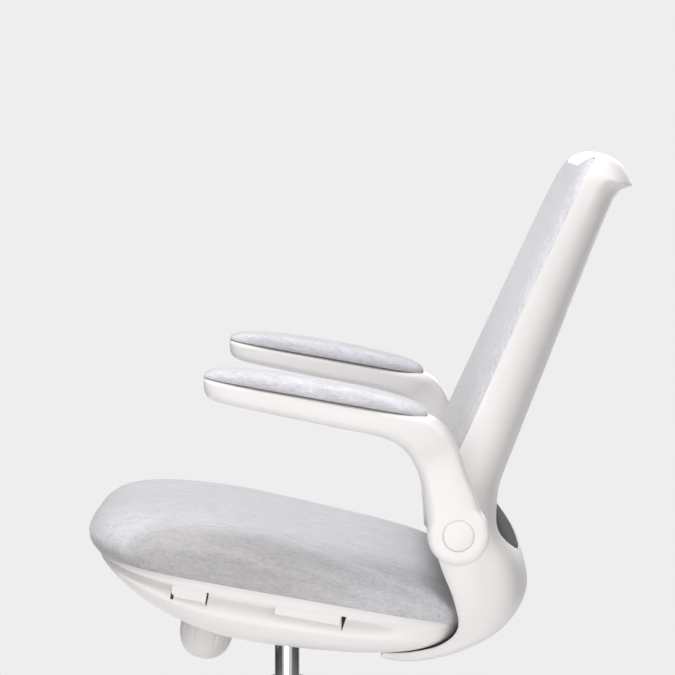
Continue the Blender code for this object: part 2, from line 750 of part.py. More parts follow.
def rim_half(y):
    """Half width of the rim at a place along the seat."""
    reach, square = (SEAT_REAR, REAR_SQUARE) if y > SEAT_CENTRE else (SEAT_FRONT, NOSE_SQUARE)
    return SEAT_HALF * (1 - abs((y - SEAT_CENTRE) / (reach - SEAT_CENTRE)) ** square) ** (1 / square)


SEAT_STEPS = 40


def seat_pan():
    """Hull under the cushion: a ledge, a rim band, a finger scoop, and sides turned in to an open mouth."""
    section = (
        (None, 0.0),
        (0.002, 0.0),
        (0.0, 0.002),
        (0.0, RIM_BAND),
        (SCOOP * 0.9, RIM_BAND + 0.0015),
        (SCOOP, RIM_BAND + 0.0120),
        (SCOOP * 0.6, 0.0385),
        (0.0090, 0.0500),
        (0.0180, 0.0590),
        (0.0350, 0.0665),
        (0.0700, 0.0715),
        (SEAT_HALF - MOUTH_HALF, PAN_DEPTH),
    )
    reach = SEAT_HALF - MOUTH_HALF
    rows = []
    for inset, depth in section:
        row = []
        for step in range(SEAT_STEPS):
            angle = 2 * pi * step / SEAT_STEPS
            rx, ry = seat_rim(angle)
            if inset is None:
                x, y = seat_rim(angle, LEDGE)
                row.append(Vector((x, y, RIM_Z)))
                continue
            mx, my = oval(angle, MOUTH_HALF, MOUTH_FRONT, MOUTH_REAR, SEAT_CENTRE, 5, 5)
            share = inset / reach
            x, y = rx + (mx - rx) * share, ry + (my - ry) * share
            if depth <= RIM_BAND:
                drop = min(depth, 0.004 + depth * keel(ry * 0.985))
            else:
                drop = 0.004 + RIM_BAND * keel(ry * 0.985) + (depth - RIM_BAND) * keel(y)
            row.append(Vector((x, y, RIM_Z - drop)))
        rows.append(row)
    wall = thickened(rows, PAN_WALL, "pan", True)
    tools = []
    for side in (-1, 1):
        for low, high, deep in ((-0.124, -0.088, 0.014), (-0.009, 0.071, 0.013)):
            top = RIM_Z - RIM_BAND
            near, far = rim_half(low), rim_half(high)
            root = SCOOP + PAN_WALL * 0.5
            plan = [(near - root, low), (near - CLIP_SUNK, low)]
            plan += [(far - CLIP_SUNK, high), (far - root, high)]
            box = prism([(side * x, y) for x, y in plan], top - deep, top + CLIP_SUNK, "clip")
            tools.append(("UNION", box))
    node("seat_pan", combine(wall, tools, "pan_work"), WHITE, upright)


def seat_board():
    half = SEAT_HALF - BOARD_INSET
    turns = [2 * pi * step / 32 for step in range(32)]
    shape = (half, BOARD_FRONT, BOARD_REAR, SEAT_CENTRE, NOSE_SQUARE, REAR_SQUARE)
    outline = [oval(turn, *shape) for turn in turns]
    tools = []
    for spot in SEAT_BOLTS + BACK_BOLTS:
        lie = Matrix.Translation((*spot, 0))
        hole = rod(BOLT_RADIUS + GAP, BOARD_LOW - 0.01, BOARD_TOP + 0.01, "board_hole", 8, lie)
        tools.append(("DIFFERENCE", hole))
    mesh = combine(prism(outline, BOARD_LOW, BOARD_TOP, "board"), tools, "board_work")
    node("seat_board", mesh, PLY, upright)


def seat_cushion():
    """Foam under fabric: drawn in at the rim, full sides, a waterfall nose and a crowned top."""
    full = CUSHION_TOP - RIM_Z
    section = ((0.060, 0.0), (0.0085, 0.0), (0.0045, 0.14), (0.0010, 0.30), (0.0, 0.42), (0.0035, 0.55))
    section += ((0.0165, 0.71), (0.0385, 0.84), (0.065, 0.92), (0.105, 0.975), (0.155, 1.0))
    half = SEAT_HALF + CUSHION_OVER
    rings = []
    for inset, share in section:
        ring = []
        rise = full * share
        for step in range(SEAT_STEPS):
            angle = 2 * pi * step / SEAT_STEPS
            shrink = 1 - inset / half
            front = (SEAT_FRONT - CUSHION_NOSE) * shrink
            rear = CUSHION_REAR * shrink
            square = NOSE_SQUARE - CUSHION_ROUND * share
            x, y = oval(angle, half * shrink, front, rear, SEAT_CENTRE * shrink, square, REAR_SQUARE)
            narrow = 1 - CUSHION_NARROW * max(0, y / CUSHION_REAR) ** 2
            fall = CUSHION_FALL * max(0, y + 0.09) ** 1.2 if share > 0.4 else 0
            ring.append(Vector((x * narrow, y, RIM_Z + GAP + rise - fall)))
        rings.append(ring)
    node("seat_cushion", stacked(rings, "seat_cushion"), FABRIC, upright)


# back shell stations from the tongue under the seat to the roof: front edge, spine, half width, squareness
SHELL = (
    (TONGUE_Y, 0.3728, TONGUE_Y, 0.3620, 0.196, 5.0),
    (0.150, 0.3805, 0.160, 0.3655, 0.208, 5.0),
    (0.182, 0.3960, 0.214, 0.3890, 0.221, 4.6),
    (0.1985, 0.4200, 0.2580, 0.4230, 0.230, 4.1),
    (0.1880, 0.4520, 0.2760, 0.4630, 0.2345, 4.1),
    (0.1640, 0.4920, 0.2645, 0.4980, 0.2365, 4.6),
    (0.1480, 0.5310, 0.2335, 0.5330, 0.2355, 4.8),
    (0.1510, 0.5750, 0.2225, 0.5730, 0.230, 4.6),
    (0.1700, 0.6400, 0.2330, 0.6300, 0.221, 4.0),
    (0.1950, 0.7400, 0.2540, 0.7300, 0.213, 3.6),
    (0.2200, 0.8350, 0.2740, 0.8280, 0.205, 3.5),
    (0.2400, 0.9080, 0.2895, 0.9020, 0.1975, 3.5),
    (0.2490, 0.9440, 0.2990, 0.9340, 0.191, 3.5),
    (0.2525, 0.9540, 0.3150, 0.9460, 0.186, 3.6),
)
ROOF = (
    SHELL[-1],
    (0.2545, 0.9595, 0.3090, 0.9570, 0.178, 3.6),
    (0.2570, 0.9650, 0.2980, 0.9690, 0.168, 3.6),
    (0.2595, 0.9690, 0.2820, 0.9765, 0.155, 3.6),
    (0.2620, 0.9710, 0.2660, 0.9750, 0.141, 3.6),
)


def shell_point(station, across):
    """A point of the shell's outer skin; across runs from -1 to 1."""
    front_y, front_z, spine_y, spine_z, half, square = station
    x = half * across
    deep = max(0, 1 - abs(across) ** square) ** (1 / square)
    y = front_y + (spine_y - front_y) * deep
    z = front_z + (spine_z - front_z) * deep
    return Vector((x, y, z))


def shell_stations():
    rows = [eased(SHELL, i / 24) for i in range(25)]
    rows += [eased(ROOF, i / 4) for i in range(1, 5)]
    return rows


def across_steps(square):
    """Shares of the half width, close together round the rear corners."""
    count = 8
    shares = [cos(pi / 2 * i / count) ** (2 / square) for i in range(count + 1)]
    return shares[:-1] + [0.0] + [-s for s in reversed(shares[:-1])]


def spine_at(x, z):
    """Skin point of the lower shell at a given width and height, found by halving."""
    low, high = 4 / 13, 9 / 13
    for _ in range(40):
        middle = (low + high) / 2
        station = eased(SHELL, middle)
        if shell_point(station, min(1, abs(x) / station[4])).z < z:
            low = middle
        else:
            high = middle
    station = eased(SHELL, (low + high) / 2)
    spot = shell_point(station, min(1, abs(x) / station[4]))
    return Vector((x, spot.y, z))


def panel_outline(grow, count):
    """Eye-shaped outline of the lumbar window, in X and Z."""
    points = []
    for step in range(count):
        angle = 2 * pi * step / count
        x = (PANEL_HALF + grow) * cos(angle)
        z = PANEL_Z + (PANEL_HIGH + grow) * sin(angle)
        points.append((x, z))
    return points


def back_shell():
    """One moulding: tongue under the seat, bucket behind it, side walls, and a roof with a flared lip."""
    rows = []
    for station in shell_stations():
        rows.append([shell_point(station, across) for across in across_steps(station[5])])
    wall = thickened(rows, SHELL_WALL, "shell", False)
    window_near, window_far = BACK_Y + 0.005, BACK_Y + 0.130
    lie = Matrix.Rotation(pi / 2, 4, "X")
    window = prism(panel_outline(0, 24), -window_far, -window_near, "window", lie)
    tools = [("DIFFERENCE", window)]
    for side in (-1, 1):
        lie = Matrix.Translation((0, PIVOT_Y, PIVOT_Z)) @ ALONG_X
        low, high = sorted((side * ARM_X * 0.55, side * (ARM_X + 0.010)))
        tools.append(("DIFFERENCE", rod(AXLE_PIN + GAP, low, high, "axle_hole", 16, lie)))
    for x, y in BACK_BOLTS:
        lie = Matrix.Translation((x, y, 0))
        hole = rod(BOLT_RADIUS + GAP, SHELL[0][3] - 0.02, PLATE_Z, "tongue_hole", 8, lie)
        tools.append(("DIFFERENCE", hole))
    node("back_shell", combine(wall, tools, "shell_work"), WHITE, upright)


def lumbar_panel():
    """Dark panel lapped inside the rear window and standing flush in it."""
    count = 24
    inside = -SHELL_WALL - PANEL_CLEAR
    rings = []
    for share, lift in ((0.02, 0), (0.5, 0), (0.94, 0), (0.985, inside), (1.0, inside)):
        ring = []
        grow = PANEL_LAP if share == 1.0 else -PANEL_CLEAR
        scale = 1.0 if share in (0.985, 1.0) else share
        for x, z in panel_outline(grow, count):
            cx, cz = x * scale, PANEL_Z + (z - PANEL_Z) * scale
            spot = spine_at(cx, cz)
            ahead = spine_at(cx, cz + 0.002) - spine_at(cx, cz - 0.002)
            aside = spine_at(cx + 0.002, cz) - spine_at(cx - 0.002, cz)
            lean = abs(ahead.cross(aside).normalized().y)
            ring.append(spot + Vector((0, (lift - GAP) / lean, 0)))
        rings.append(ring)
    wall = thickened(rings, PANEL_WALL, "panel", True)
    node("lumbar_panel", wall, DARK, upright)


def back_plane(z):
    """The flat that the upholstery lies on, along the front edges of the shell's side walls."""
    return BACK_Y + BACK_SLOPE * (z - BACK_Z)


def wall_half(z):
    """Half width of the shell at the front edge, at a height."""
    low, high = 6 / 13, 1.0
    for _ in range(40):
        middle = (low + high) / 2
        if eased(SHELL, middle)[1] < z:
            low = middle
        else:
            high = middle
    return eased(SHELL, low)[4]


def back_outline(shrink):
    """Outline of the upholstery between the side walls and under the roof, in X and Z."""
    rise = [PAD_LOW + (SHELL[-1][1] - 0.012 - PAD_LOW) * i / 9 for i in range(10)]
    right = [(wall_half(z) - shrink, z + (shrink if z == PAD_LOW else 0)) for z in rise]
    right[0] = (right[0][0] - 0.012, right[0][1])
    right.insert(1, (right[1][0] * 0.25 + (right[0][0] + 0.012) * 0.75, right[0][1] + 0.010))
    for station in ROOF[1:]:
        right.append((station[4] - shrink - 0.003, station[1] - shrink - 0.0015))
    return right + [(-x, z) for x, z in reversed(right)]


def back_upholstery():
    """Crowned fabric pad on a thin board, set between the shell's side walls."""
    edge = SHELL_WALL + 0.001
    middle = (PAD_LOW + SHELL[-1][1]) / 2
    outline = back_outline(edge)
    section = ((0.60, -PAD_BACK), (0.985, -PAD_BACK), (1.0, -0.003), (0.995, 0.0005), (0.975, 0.0035))
    section += ((0.90, PAD_CROWN * 0.52), (0.72, PAD_CROWN * 0.80))
    section += ((0.42, PAD_CROWN * 0.96), (0.12, PAD_CROWN))
    rings = []
    for scale, proud in section:
        ring = []
        for x, z in outline:
            height = middle + (z - middle) * scale
            low = max(0, (THIN_BELOW - height) / (THIN_BELOW - PAD_LOW))
            thick = proud * (1 - PAD_THIN * low**2) if proud > 0 else proud
            ring.append(Vector((x * scale, back_plane(height) - thick, height)))
        rings.append(ring)
    node("back_pad", stacked(rings, "back_pad"), FABRIC, upright)
    rings = []
    for depth in (PAD_BACK + GAP, PAD_BACK + GAP + BACK_BOARD):
        rings.append([Vector((x, back_plane(z) + depth, z)) for x, z in back_outline(SHELL_WALL + 0.007)])
    node("back_board", stacked(rings, "back_board"), NYLON, upright)


def back_bracket():
    """Cast block that carries the shell's tongue on the tilt plate."""
    front, rear = TONGUE_Y + 0.004, PLATE_REAR - 0.002
    lift = SHELL_WALL + 0.0012

    def tongue_floor(y):
        share = (y - SHELL[0][2]) / (SHELL[1][2] - SHELL[0][2]) / (len(SHELL) - 1)
        return eased(SHELL, share)[3] + lift

    side = [(front, tongue_floor(front)), (rear, tongue_floor(rear) + 0.0006)]
    side += [(rear, PLATE_Z - GAP), (front, PLATE_Z - GAP)]
    tools = []
    for x, y in BACK_BOLTS:
        lie = Matrix.Translation((x, y, 0))
        hole = rod(BOLT_RADIUS + GAP, SHELL[0][3] - 0.02, PLATE_Z + 0.02, "bracket_hole", 8, lie)
        tools.append(("DIFFERENCE", hole))
    mesh = combine(prism(side, -BRACKET_HALF, BRACKET_HALF, "bracket", ALONG_X), tools, "bracket_work")
    node("back_bracket", mesh, CAST, upright)


def bolts():
    for count, spot in enumerate(SEAT_BOLTS, 1):
        bolt(f"seat_bolt_{count}", spot, PLATE_Z - GAP, BOARD_TOP - 0.002)
    for count, spot in enumerate(BACK_BOLTS, 1):
        bolt(f"back_bolt_{count}", spot, SHELL[0][3] - GAP, BOARD_TOP - 0.002)


def arm_stations():
    """Arm from its tip along the beam and down the leg: upper and lower edge, inner and outer face."""
    seam, under = ARM_SEAM - GAP, ARM_SEAM - ARM_DEPTH
    inner, outer = ARM_X - ARM_HALF, ARM_X + ARM_HALF
    tip, nose, cheek = ARM_FRONT, ARM_HALF * 0.59, ARM_HALF * 0.26
    beam = [
        (tip + 0.0004, seam, tip + 0.0030, seam - ARM_DEPTH * 0.41, inner + nose, outer - nose),
        (tip + 0.0025, seam, tip + 0.0075, under + 0.006, inner + cheek, outer - cheek),
        (tip + 0.015, seam, tip + 0.018, under + 0.0015, inner + 0.002, outer - 0.002),
        (tip + 0.045, seam, tip + 0.047, under, inner, outer),
        (ARM_REAR - 0.102, seam, ARM_REAR - 0.104, under, inner, outer),
        (ARM_REAR - 0.030, seam, ARM_REAR - 0.054, under - 0.001, inner + 0.001, outer),
    ]
    # down the leg: run of the rear and front edge past the pad, and their fall as shares of the whole fall
    sweep = (
        (0.002, 0.004, -0.030, 0.065),
        (0.022, 0.083, -0.014, 0.174),
        (0.039, 0.246, -0.001, 0.349),
        (0.0545, 0.468, 0.008, 0.554),
        (0.0690, 0.650, 0.0140, 0.738),
        (0.0800, 0.825, 0.0190, 0.923),
    )
    leg = []
    for count, (rear, rear_fall, front, front_fall) in enumerate(sweep):
        near = LEG_INNER if count > 1 else LEG_INNER - 0.0025 + 0.0025 * count
        far = LEG_OUTER if count > 1 else outer - 0.001 - 0.002 * count
        top_z = seam + (PIVOT_Z - seam) * rear_fall
        low_z = under + (PIVOT_Z - under) * front_fall
        leg.append((ARM_REAR + rear, top_z, ARM_REAR + front, low_z, near, far))
    reach = BOSS_RADIUS * 0.97
    foot = (PIVOT_Y + reach, PIVOT_Z, PIVOT_Y - reach, PIVOT_Z, LEG_INNER, LEG_OUTER)
    return beam + leg + [foot]


def arm(side, name, axis):
    """Moulded flip-up arm: a level beam swept down into a round pivot boss."""
    away = Matrix.Translation((-side * ARM_X, -PIVOT_Y, -PIVOT_Z))
    rings = []
    for top_y, top_z, low_y, low_z, inner, outer in arm_stations():
        top, low = Vector((0, top_y, top_z)), Vector((0, low_y, low_z))
        half, centre = (outer - inner) / 2, (outer + inner) / 2
        ring = []
        for step in range(12):
            angle = 2 * pi * (step + 0.5) / 12
            c, s = cos(angle), sin(angle)
            across = half * abs(c) ** 0.42 * (1 if c > 0 else -1)
            along = 0.5 + 0.5 * abs(s) ** 0.42 * (1 if s > 0 else -1)
            spot = low + (top - low) * along
            ring.append(Vector((side * (centre + across), spot.y, spot.z)))
        rings.append(ring)
    lie = Matrix.Translation((0, PIVOT_Y, PIVOT_Z)) @ ALONG_X
    soft = 0.006
    boss = [
        (0, LEG_OUTER),
        (BOSS_RADIUS - soft, LEG_OUTER),
        (BOSS_RADIUS - soft * 0.3, LEG_OUTER - soft * 0.3),
        (BOSS_RADIUS, LEG_OUTER - soft),
        (BOSS_RADIUS, LEG_INNER + 0.002),
        (BOSS_RADIUS - 0.002, LEG_INNER),
        (0, LEG_INNER),
    ]
    face = LEG_OUTER - CAP_THICK
    turn = Matrix.Diagonal((side, 1, 1, 1))
    bore = turn @ lie
    tools = [
        ("UNION", turned(boss, "boss", 24, bore)),
        ("DIFFERENCE", rod(CAP_RADIUS + GAP, face, LEG_OUTER + 0.01, "cap_seat", 24, bore)),
        ("DIFFERENCE", rod(AXLE_PIN + RUN, LEG_INNER - 0.01, face + 0.01, "axle_bore", 16, bore)),
    ]
    mesh = combine(stacked(rings, "beam"), tools, name + "_work")
    mesh.transform(away)
    node(name + "_beam", mesh, WHITE, axis)
    cap = [
        (0, LEG_OUTER + 0.0004),
        (CAP_RADIUS - 0.0015, LEG_OUTER + 0.0004),
        (CAP_RADIUS, LEG_OUTER - 0.0011),
        (CAP_RADIUS, face + GAP),
        (0, face + GAP),
    ]
    mesh = turned(cap, name + "_cap", 24, bore)
    mesh.transform(away)
    node(name + "_cap", mesh, WHITE, axis)
    rings = []
    section = ((0.45, 0.0), (0.985, 0.0), (1.0, 0.10), (0.985, 0.35), (0.93, 0.60))
    section += ((0.80, 0.83), (0.58, 0.95), (0.25, 1.0))
    length = (ARM_REAR - ARM_FRONT) / 2
    centre = (ARM_REAR + ARM_FRONT) / 2
    for scale, rise in section:
        ring = []
        for step in range(28):
            angle = 2 * pi * step / 28
            x, y = oval(angle, ARM_HALF * scale, -length * scale, length * scale, 0, 4.2, 4.2)
            bow = 1 - 0.30 * (y / length) ** 2
            ring.append(Vector((side * (ARM_X + x), centre + y, ARM_SEAM + PAD_HIGH * rise * bow)))
        rings.append(ring)
    mesh = stacked(rings, name + "_pad")
    mesh.transform(away)
    node(name + "_pad", mesh, FABRIC, axis)
    flange = SHELL[6][4] - SHELL_WALL - 0.0050
    axle = [
        (0, face - GAP),
        (AXLE_PIN, face - GAP),
        (AXLE_PIN, flange),
        (AXLE_PIN + 0.006, flange),
        (AXLE_PIN + 0.006, flange - 0.005),
        (0, flange - 0.005),
    ]
    node(name + "_axle", turned(axle, name + "_axle", 16, bore), ZINC, upright)


def arms():
    for side, name in ((1, "left_arm"), (-1, "right_arm")):
        axis = axis_at(name + "_axis", (side * ARM_X, PIVOT_Y, PIVOT_Z), upright)
        arm(side, name, axis)


AXLE_Z = WHEEL_RADIUS * cos(pi / WHEEL_FACETS)


def caster_wheels():
    """Two wheels on one axle, turned about X with a flat facet on the floor."""
    near = FORK_WEB / 2 + RUN
    far = near + WHEEL_WIDTH
    half = [
        (AXLE_RADIUS, near),
        (WHEEL_RADIUS, near),
        (WHEEL_RADIUS, far - 0.004),
        (WHEEL_RADIUS * 0.75, far),
        (0, far - 0.002),
    ]
    profile = [(radius, -x) for radius, x in reversed(half)] + half
    facet = Matrix.Rotation(pi / WHEEL_FACETS - pi / 2, 4, "X")
    return turned(profile, "caster_wheels", WHEEL_FACETS, facet @ ALONG_X)


def caster_hood():
    """Web between the wheels, an arched cover over them, and the boss that the stem is pressed into."""
    out = WHEEL_RADIUS + 0.0015
    half = FORK_WEB / 2
    wide = half + RUN + WHEEL_WIDTH
    web = []
    for step in range(9):
        angle = radians(-60) + radians(300) * step / 8
        web.append(((WHEEL_RADIUS - 0.003) * cos(angle), (WHEEL_RADIUS - 0.003) * sin(angle)))
    arch = [(out * cos(radians(a)), out * sin(radians(a))) for a in range(15, 166, 30)]
    cover = out + HOOD_WALL
    arch += [(cover * cos(radians(a)), cover * sin(radians(a))) for a in range(165, 14, -30)]
    stem_line = Matrix.Translation((0, -CASTER_TRAIL, 0))
    boss = rod(BOSS_OF_STEM, WHEEL_RADIUS * 0.5, STEM_BOSS_TOP - AXLE_Z, "boss", 12, stem_line)
    thin = half - 0.0006
    rear = CASTER_TRAIL * 0.6
    bridge = block((-thin, -CASTER_TRAIL - 0.004, 0.010), (thin, rear, out + HOOD_WALL * 0.5), "bridge")
    hole = rod(STEM_RADIUS + GAP, WHEEL_RADIUS * 0.75, 0.05, "stem_hole", 10, stem_line)
    tools = [
        ("UNION", bridge),
        ("UNION", boss),
        ("UNION", prism(arch, -wide, wide, "arch", ALONG_X)),
        ("DIFFERENCE", hole),
        ("DIFFERENCE", rod(AXLE_RADIUS + GAP, -half - 0.01, half + 0.01, "axle_hole", 10, ALONG_X)),
    ]
    return combine(prism(web, -half, half, "web", ALONG_X), tools, "hood_work")


def casters():
    wheels, hood = caster_wheels(), caster_hood()
    stem_low = AXLE_Z + WHEEL_RADIUS * 0.75 + GAP
    stem = rod(STEM_RADIUS, stem_low, STEM_TOP, "caster_stem", 10)
    for leg in range(LEGS):
        angle = pi / 2 + 2 * pi * leg / LEGS
        place = (LEG_REACH * cos(angle), LEG_REACH * sin(angle), 0)
        swivel = axis_at(f"caster_{leg + 1}_axis", place, base_axis, (0, 0, angle - pi / 2))
        name = f"caster_{leg + 1}"
        node(name + "_stem", stem, ZINC, swivel)
        node(name + "_hood", hood, WHITE, swivel, (0, CASTER_TRAIL, AXLE_Z))
        node(name + "_wheels", wheels, TYRE, swivel, (0, CASTER_TRAIL, AXLE_Z))


for build in (base_star, column, piston, gas_cylinder, housing, lever, casters):
    build()
for build in (tilt_plate, tension, seat_pan, seat_board, seat_cushion, bolts):
    build()
for build in (back_shell, lumbar_panel, back_upholstery, back_bracket, arms):
    build()
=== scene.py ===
"""Office task chair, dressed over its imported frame. Metres, +Z up, the sitter faces -Y."""

from math import cos, pi, radians, sin

import bmesh
import bpy
from mathutils import Matrix, Vector


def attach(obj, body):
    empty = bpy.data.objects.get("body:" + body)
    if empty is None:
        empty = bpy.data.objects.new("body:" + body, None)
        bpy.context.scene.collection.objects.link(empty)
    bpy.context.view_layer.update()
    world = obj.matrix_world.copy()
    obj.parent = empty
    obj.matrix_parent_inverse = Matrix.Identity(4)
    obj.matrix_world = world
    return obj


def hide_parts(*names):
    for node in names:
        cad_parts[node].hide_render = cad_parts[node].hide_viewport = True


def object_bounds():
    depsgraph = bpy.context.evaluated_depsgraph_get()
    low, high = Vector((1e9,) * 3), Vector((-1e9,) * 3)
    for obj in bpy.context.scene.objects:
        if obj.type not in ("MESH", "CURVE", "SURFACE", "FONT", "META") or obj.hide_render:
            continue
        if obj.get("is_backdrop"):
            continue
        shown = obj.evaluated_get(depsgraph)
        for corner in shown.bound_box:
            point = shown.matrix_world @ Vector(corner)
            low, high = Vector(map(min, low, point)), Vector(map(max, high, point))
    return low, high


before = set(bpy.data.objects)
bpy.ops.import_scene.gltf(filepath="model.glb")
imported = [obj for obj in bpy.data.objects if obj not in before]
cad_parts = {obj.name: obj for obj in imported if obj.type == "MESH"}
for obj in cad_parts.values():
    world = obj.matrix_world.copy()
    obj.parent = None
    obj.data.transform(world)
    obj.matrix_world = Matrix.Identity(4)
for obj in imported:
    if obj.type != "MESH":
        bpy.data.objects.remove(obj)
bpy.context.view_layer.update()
scene = bpy.context.scene
scene.view_settings.view_transform = "Standard"


# Camera: almost square to the chair's left side and a little above the arms, from about
# 3.7 m with a long lens, framed on the seat and back so that the base falls below the picture.
def compass(turn, rise):
    """The direction away from the chair at a compass turn and a height, both in degrees."""
    flat = cos(radians(rise))
    return Vector((sin(radians(turn)) * flat, -cos(radians(turn)) * flat, sin(radians(rise))))


AIM = Vector((0, 0.0609, 0.69))
AWAY = 3.6876
toward = compass(91.07, 4.42)
camera = bpy.data.objects.new("camera", bpy.data.cameras.new("camera"))
camera.data.sensor_width = 36
camera.data.lens = 163.9
camera.location = AIM + toward * AWAY
camera.rotation_euler = (-toward).to_track_quat("-Z", "Y").to_euler()
scene.collection.objects.link(camera)
scene.camera = camera


# Studio: a pale floor that fades out into one even pale grey, lit by five soft boxes. Two felt flats,
# a dark one in front of the chair and a grey one behind it, edge its white mouldings and its chrome.
class Wire:
    """One output of a node. Sums, differences and products of wires add Math nodes."""

    def __init__(self, tree, socket):
        self.tree = tree
        self.socket = socket

    def node(self, kind, values=None, settings=None, out=0):
        """A new node with its settings, then its sockets' values or links, read at one output."""
        made = self.tree.nodes.new("ShaderNode" + kind)
        for name, value in (settings or {}).items():
            if name == "stops":
                ends = made.color_ramp.elements
                while len(ends) < len(value):
                    ends.new(1)
                for end, (spot, colour) in zip(ends, value):
                    end.position = spot
                    end.color = (*colour, 1)
            else:
                setattr(made, name, value)
        for name, value in (values or {}).items():
            if isinstance(value, Wire):
                self.tree.links.new(value.socket, made.inputs[name])
            else:
                made.inputs[name].default_value = value
        return Wire(self.tree, made.outputs[out])

    def maths(self, operation, left, right):
        return self.node("Math", {0: left, 1: right}, {"operation": operation})

    def __add__(self, other):
        return self.maths("ADD", self, other)

    def __sub__(self, other):
        return self.maths("SUBTRACT", self, other)

    def __rsub__(self, other):
        return self.maths("SUBTRACT", other, self)

    def __mul__(self, other):
        return self.maths("MULTIPLY", self, other)

    __radd__ = __add__
    __rmul__ = __mul__

    def clear(self, low, high):
        """0 below low and 1 above high."""
        return self.node("MapRange", {"Value": self, "From Min": low, "From Max": high})

    def tint(self, first, second):
        """From one colour to another as the wire goes from 0 to 1."""
        return self.node("Mix", {0: self, 6: first, 7: second}, {"data_type": "RGBA"}, 2)

    def noise(self, scale, detail=2.0, rough=0.5):
        values = {"Vector": self, "Scale": scale, "Detail": detail, "Roughness": rough}
        return self.node("TexNoise", values)

    def to(self, shader, socket):
        self.tree.links.new(self.socket, shader.inputs[socket])

    def emboss(self, shader, strength, distance):
        """Bumps the shader's surface by the wire."""
        values = {"Height": self, "Strength": strength, "Distance": distance}
        self.node("Bump", values).to(shader, "Normal")


def paint(name, slot, rough, metal=0.0):
    """A Principled finish that carries its slot, with its shader and its place wire."""
    made = bpy.data.materials.new(name)
    made.use_nodes = True
    made["slot"] = slot
    shader = made.node_tree.nodes["Principled BSDF"]
    shader.inputs["Roughness"].default_value = rough
    shader.inputs["Metallic"].default_value = metal
    place = Wire(made.node_tree, made.node_tree.nodes.new("ShaderNodeTexCoord").outputs["Object"])
    return made, shader, place


def grey(tone):
    """A neutral colour."""
    return (tone, tone, tone, 1)


def backdrop_rays(tree):
    """1 for rays that show the set as a backdrop: from the camera, or by way of gloss or glass."""
    path = tree.nodes.new("ShaderNodeLightPath")
    seen = Wire(tree, path.outputs["Is Camera Ray"])
    for way in ("Is Glossy Ray", "Is Transmission Ray"):
        seen = seen.maths("MAXIMUM", seen, Wire(tree, path.outputs[way]))
    return seen


PAPER = 0.855
SKY = 0.14
sky = bpy.data.worlds.new("studio_sky")
scene.world = sky
sky.use_nodes = True
backdrop = backdrop_rays(sky.node_tree).tint(grey(SKY), grey(PAPER))
backdrop.to(sky.node_tree.nodes["Background"], "Color")
CHAIR_MIDDLE = Vector((0, 0.05, 0.55))


def soft_box(name, turn, rise, away, size, power):
    """A square lamp that faces the chair from a compass turn and a height, both in degrees."""
    lamp = bpy.data.objects.new(name, bpy.data.lights.new(name, "AREA"))
    lamp.data.energy = power
    lamp.data.size = size
    source = compass(turn, rise)
    lamp.location = CHAIR_MIDDLE + source * away
    lamp.rotation_euler = source.to_track_quat("Z", "Y").to_euler()
    scene.collection.objects.link(lamp)


soft_box("top_box", 50, 76, 6.0, 4.5, 345)
soft_box("front_box", 20, 25, 3.0, 1.8, 13)
soft_box("rear_box", 134, 22, 3.0, 1.6, 23)
soft_box("low_box", 85, -9, 2.3, 1.2, 17)
soft_box("far_box", 262, 12, 3.0, 1.8, 16)


def placed(name, bm):
    """A new object of the mesh in the scene; the bmesh is used up."""
    mesh = bpy.data.meshes.new(name)
    bm.to_mesh(mesh)
    bm.free()
    made = bpy.data.objects.new(name, mesh)
    scene.collection.objects.link(made)
    return made


FLAT_X, FLAT_HALF_WIDE = -0.1, 1.6
FLAT_Z, FLAT_HALF_HIGH = 0.2, 0.7


def side_flat(name, y, tone):
    """A felt-covered flat beside the set, which the camera doesn't see."""
    bm = bmesh.new()
    bmesh.ops.create_grid(bm, x_segments=1, y_segments=1, size=1)
    for vert in bm.verts:
        vert.co = (FLAT_X + FLAT_HALF_WIDE * vert.co.x, y, FLAT_Z + FLAT_HALF_HIGH * vert.co.y)
    made = placed(name, bm)
    made.visible_camera = False
    felt, shader, place = paint(name + "_felt", "backdrop", 1.0)
    shader.inputs["Specular IOR Level"].default_value = 0
    place.noise(40).tint(grey(tone * 0.9), grey(tone * 1.1)).to(shader, "Base Color")
    made.data.materials.append(felt)
    made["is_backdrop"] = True


side_flat("front_flat", -1.3, 0.03)
side_flat("rear_flat", 1.55, 0.10)

FLOOR_WIDE = 1.45
FLOOR_DROP = 0.0006
FLOOR_TONE, FLOOR_SEEN, FLOOR_LIFT = 0.86, 0.70, 0.20
ground = bmesh.new()
bmesh.ops.create_circle(ground, cap_ends=True, segments=96, radius=FLOOR_WIDE)
bmesh.ops.translate(ground, verts=ground.verts, vec=(0, 0, -FLOOR_DROP))
floor = placed("floor", ground)
pale, pale_shader, pale_place = paint("pale_floor", "floor", 1.0)
pale_shader.inputs["Specular IOR Level"].default_value = 0
pale_shader.inputs["Emission Strength"].default_value = 1
pale_place.node("LightPath").tint(grey(FLOOR_TONE), grey(FLOOR_SEEN)).to(pale_shader, "Base Color")
backdrop_rays(pale.node_tree).tint(grey(0), grey(FLOOR_LIFT)).to(pale_shader, "Emission Color")
from_middle = pale_place.node("VectorMath", {0: pale_place}, {"operation": "LENGTH"}, 1)
fade = from_middle.clear(FLOOR_WIDE * 0.68, FLOOR_WIDE * 0.98)
solid = Wire(pale.node_tree, pale_shader.outputs["BSDF"])
faded = fade.node("MixShader", {0: fade, 1: solid, 2: fade.node("BsdfTransparent")})
faded.to(pale.node_tree.nodes["Material Output"], "Surface")
floor.data.materials.append(pale)
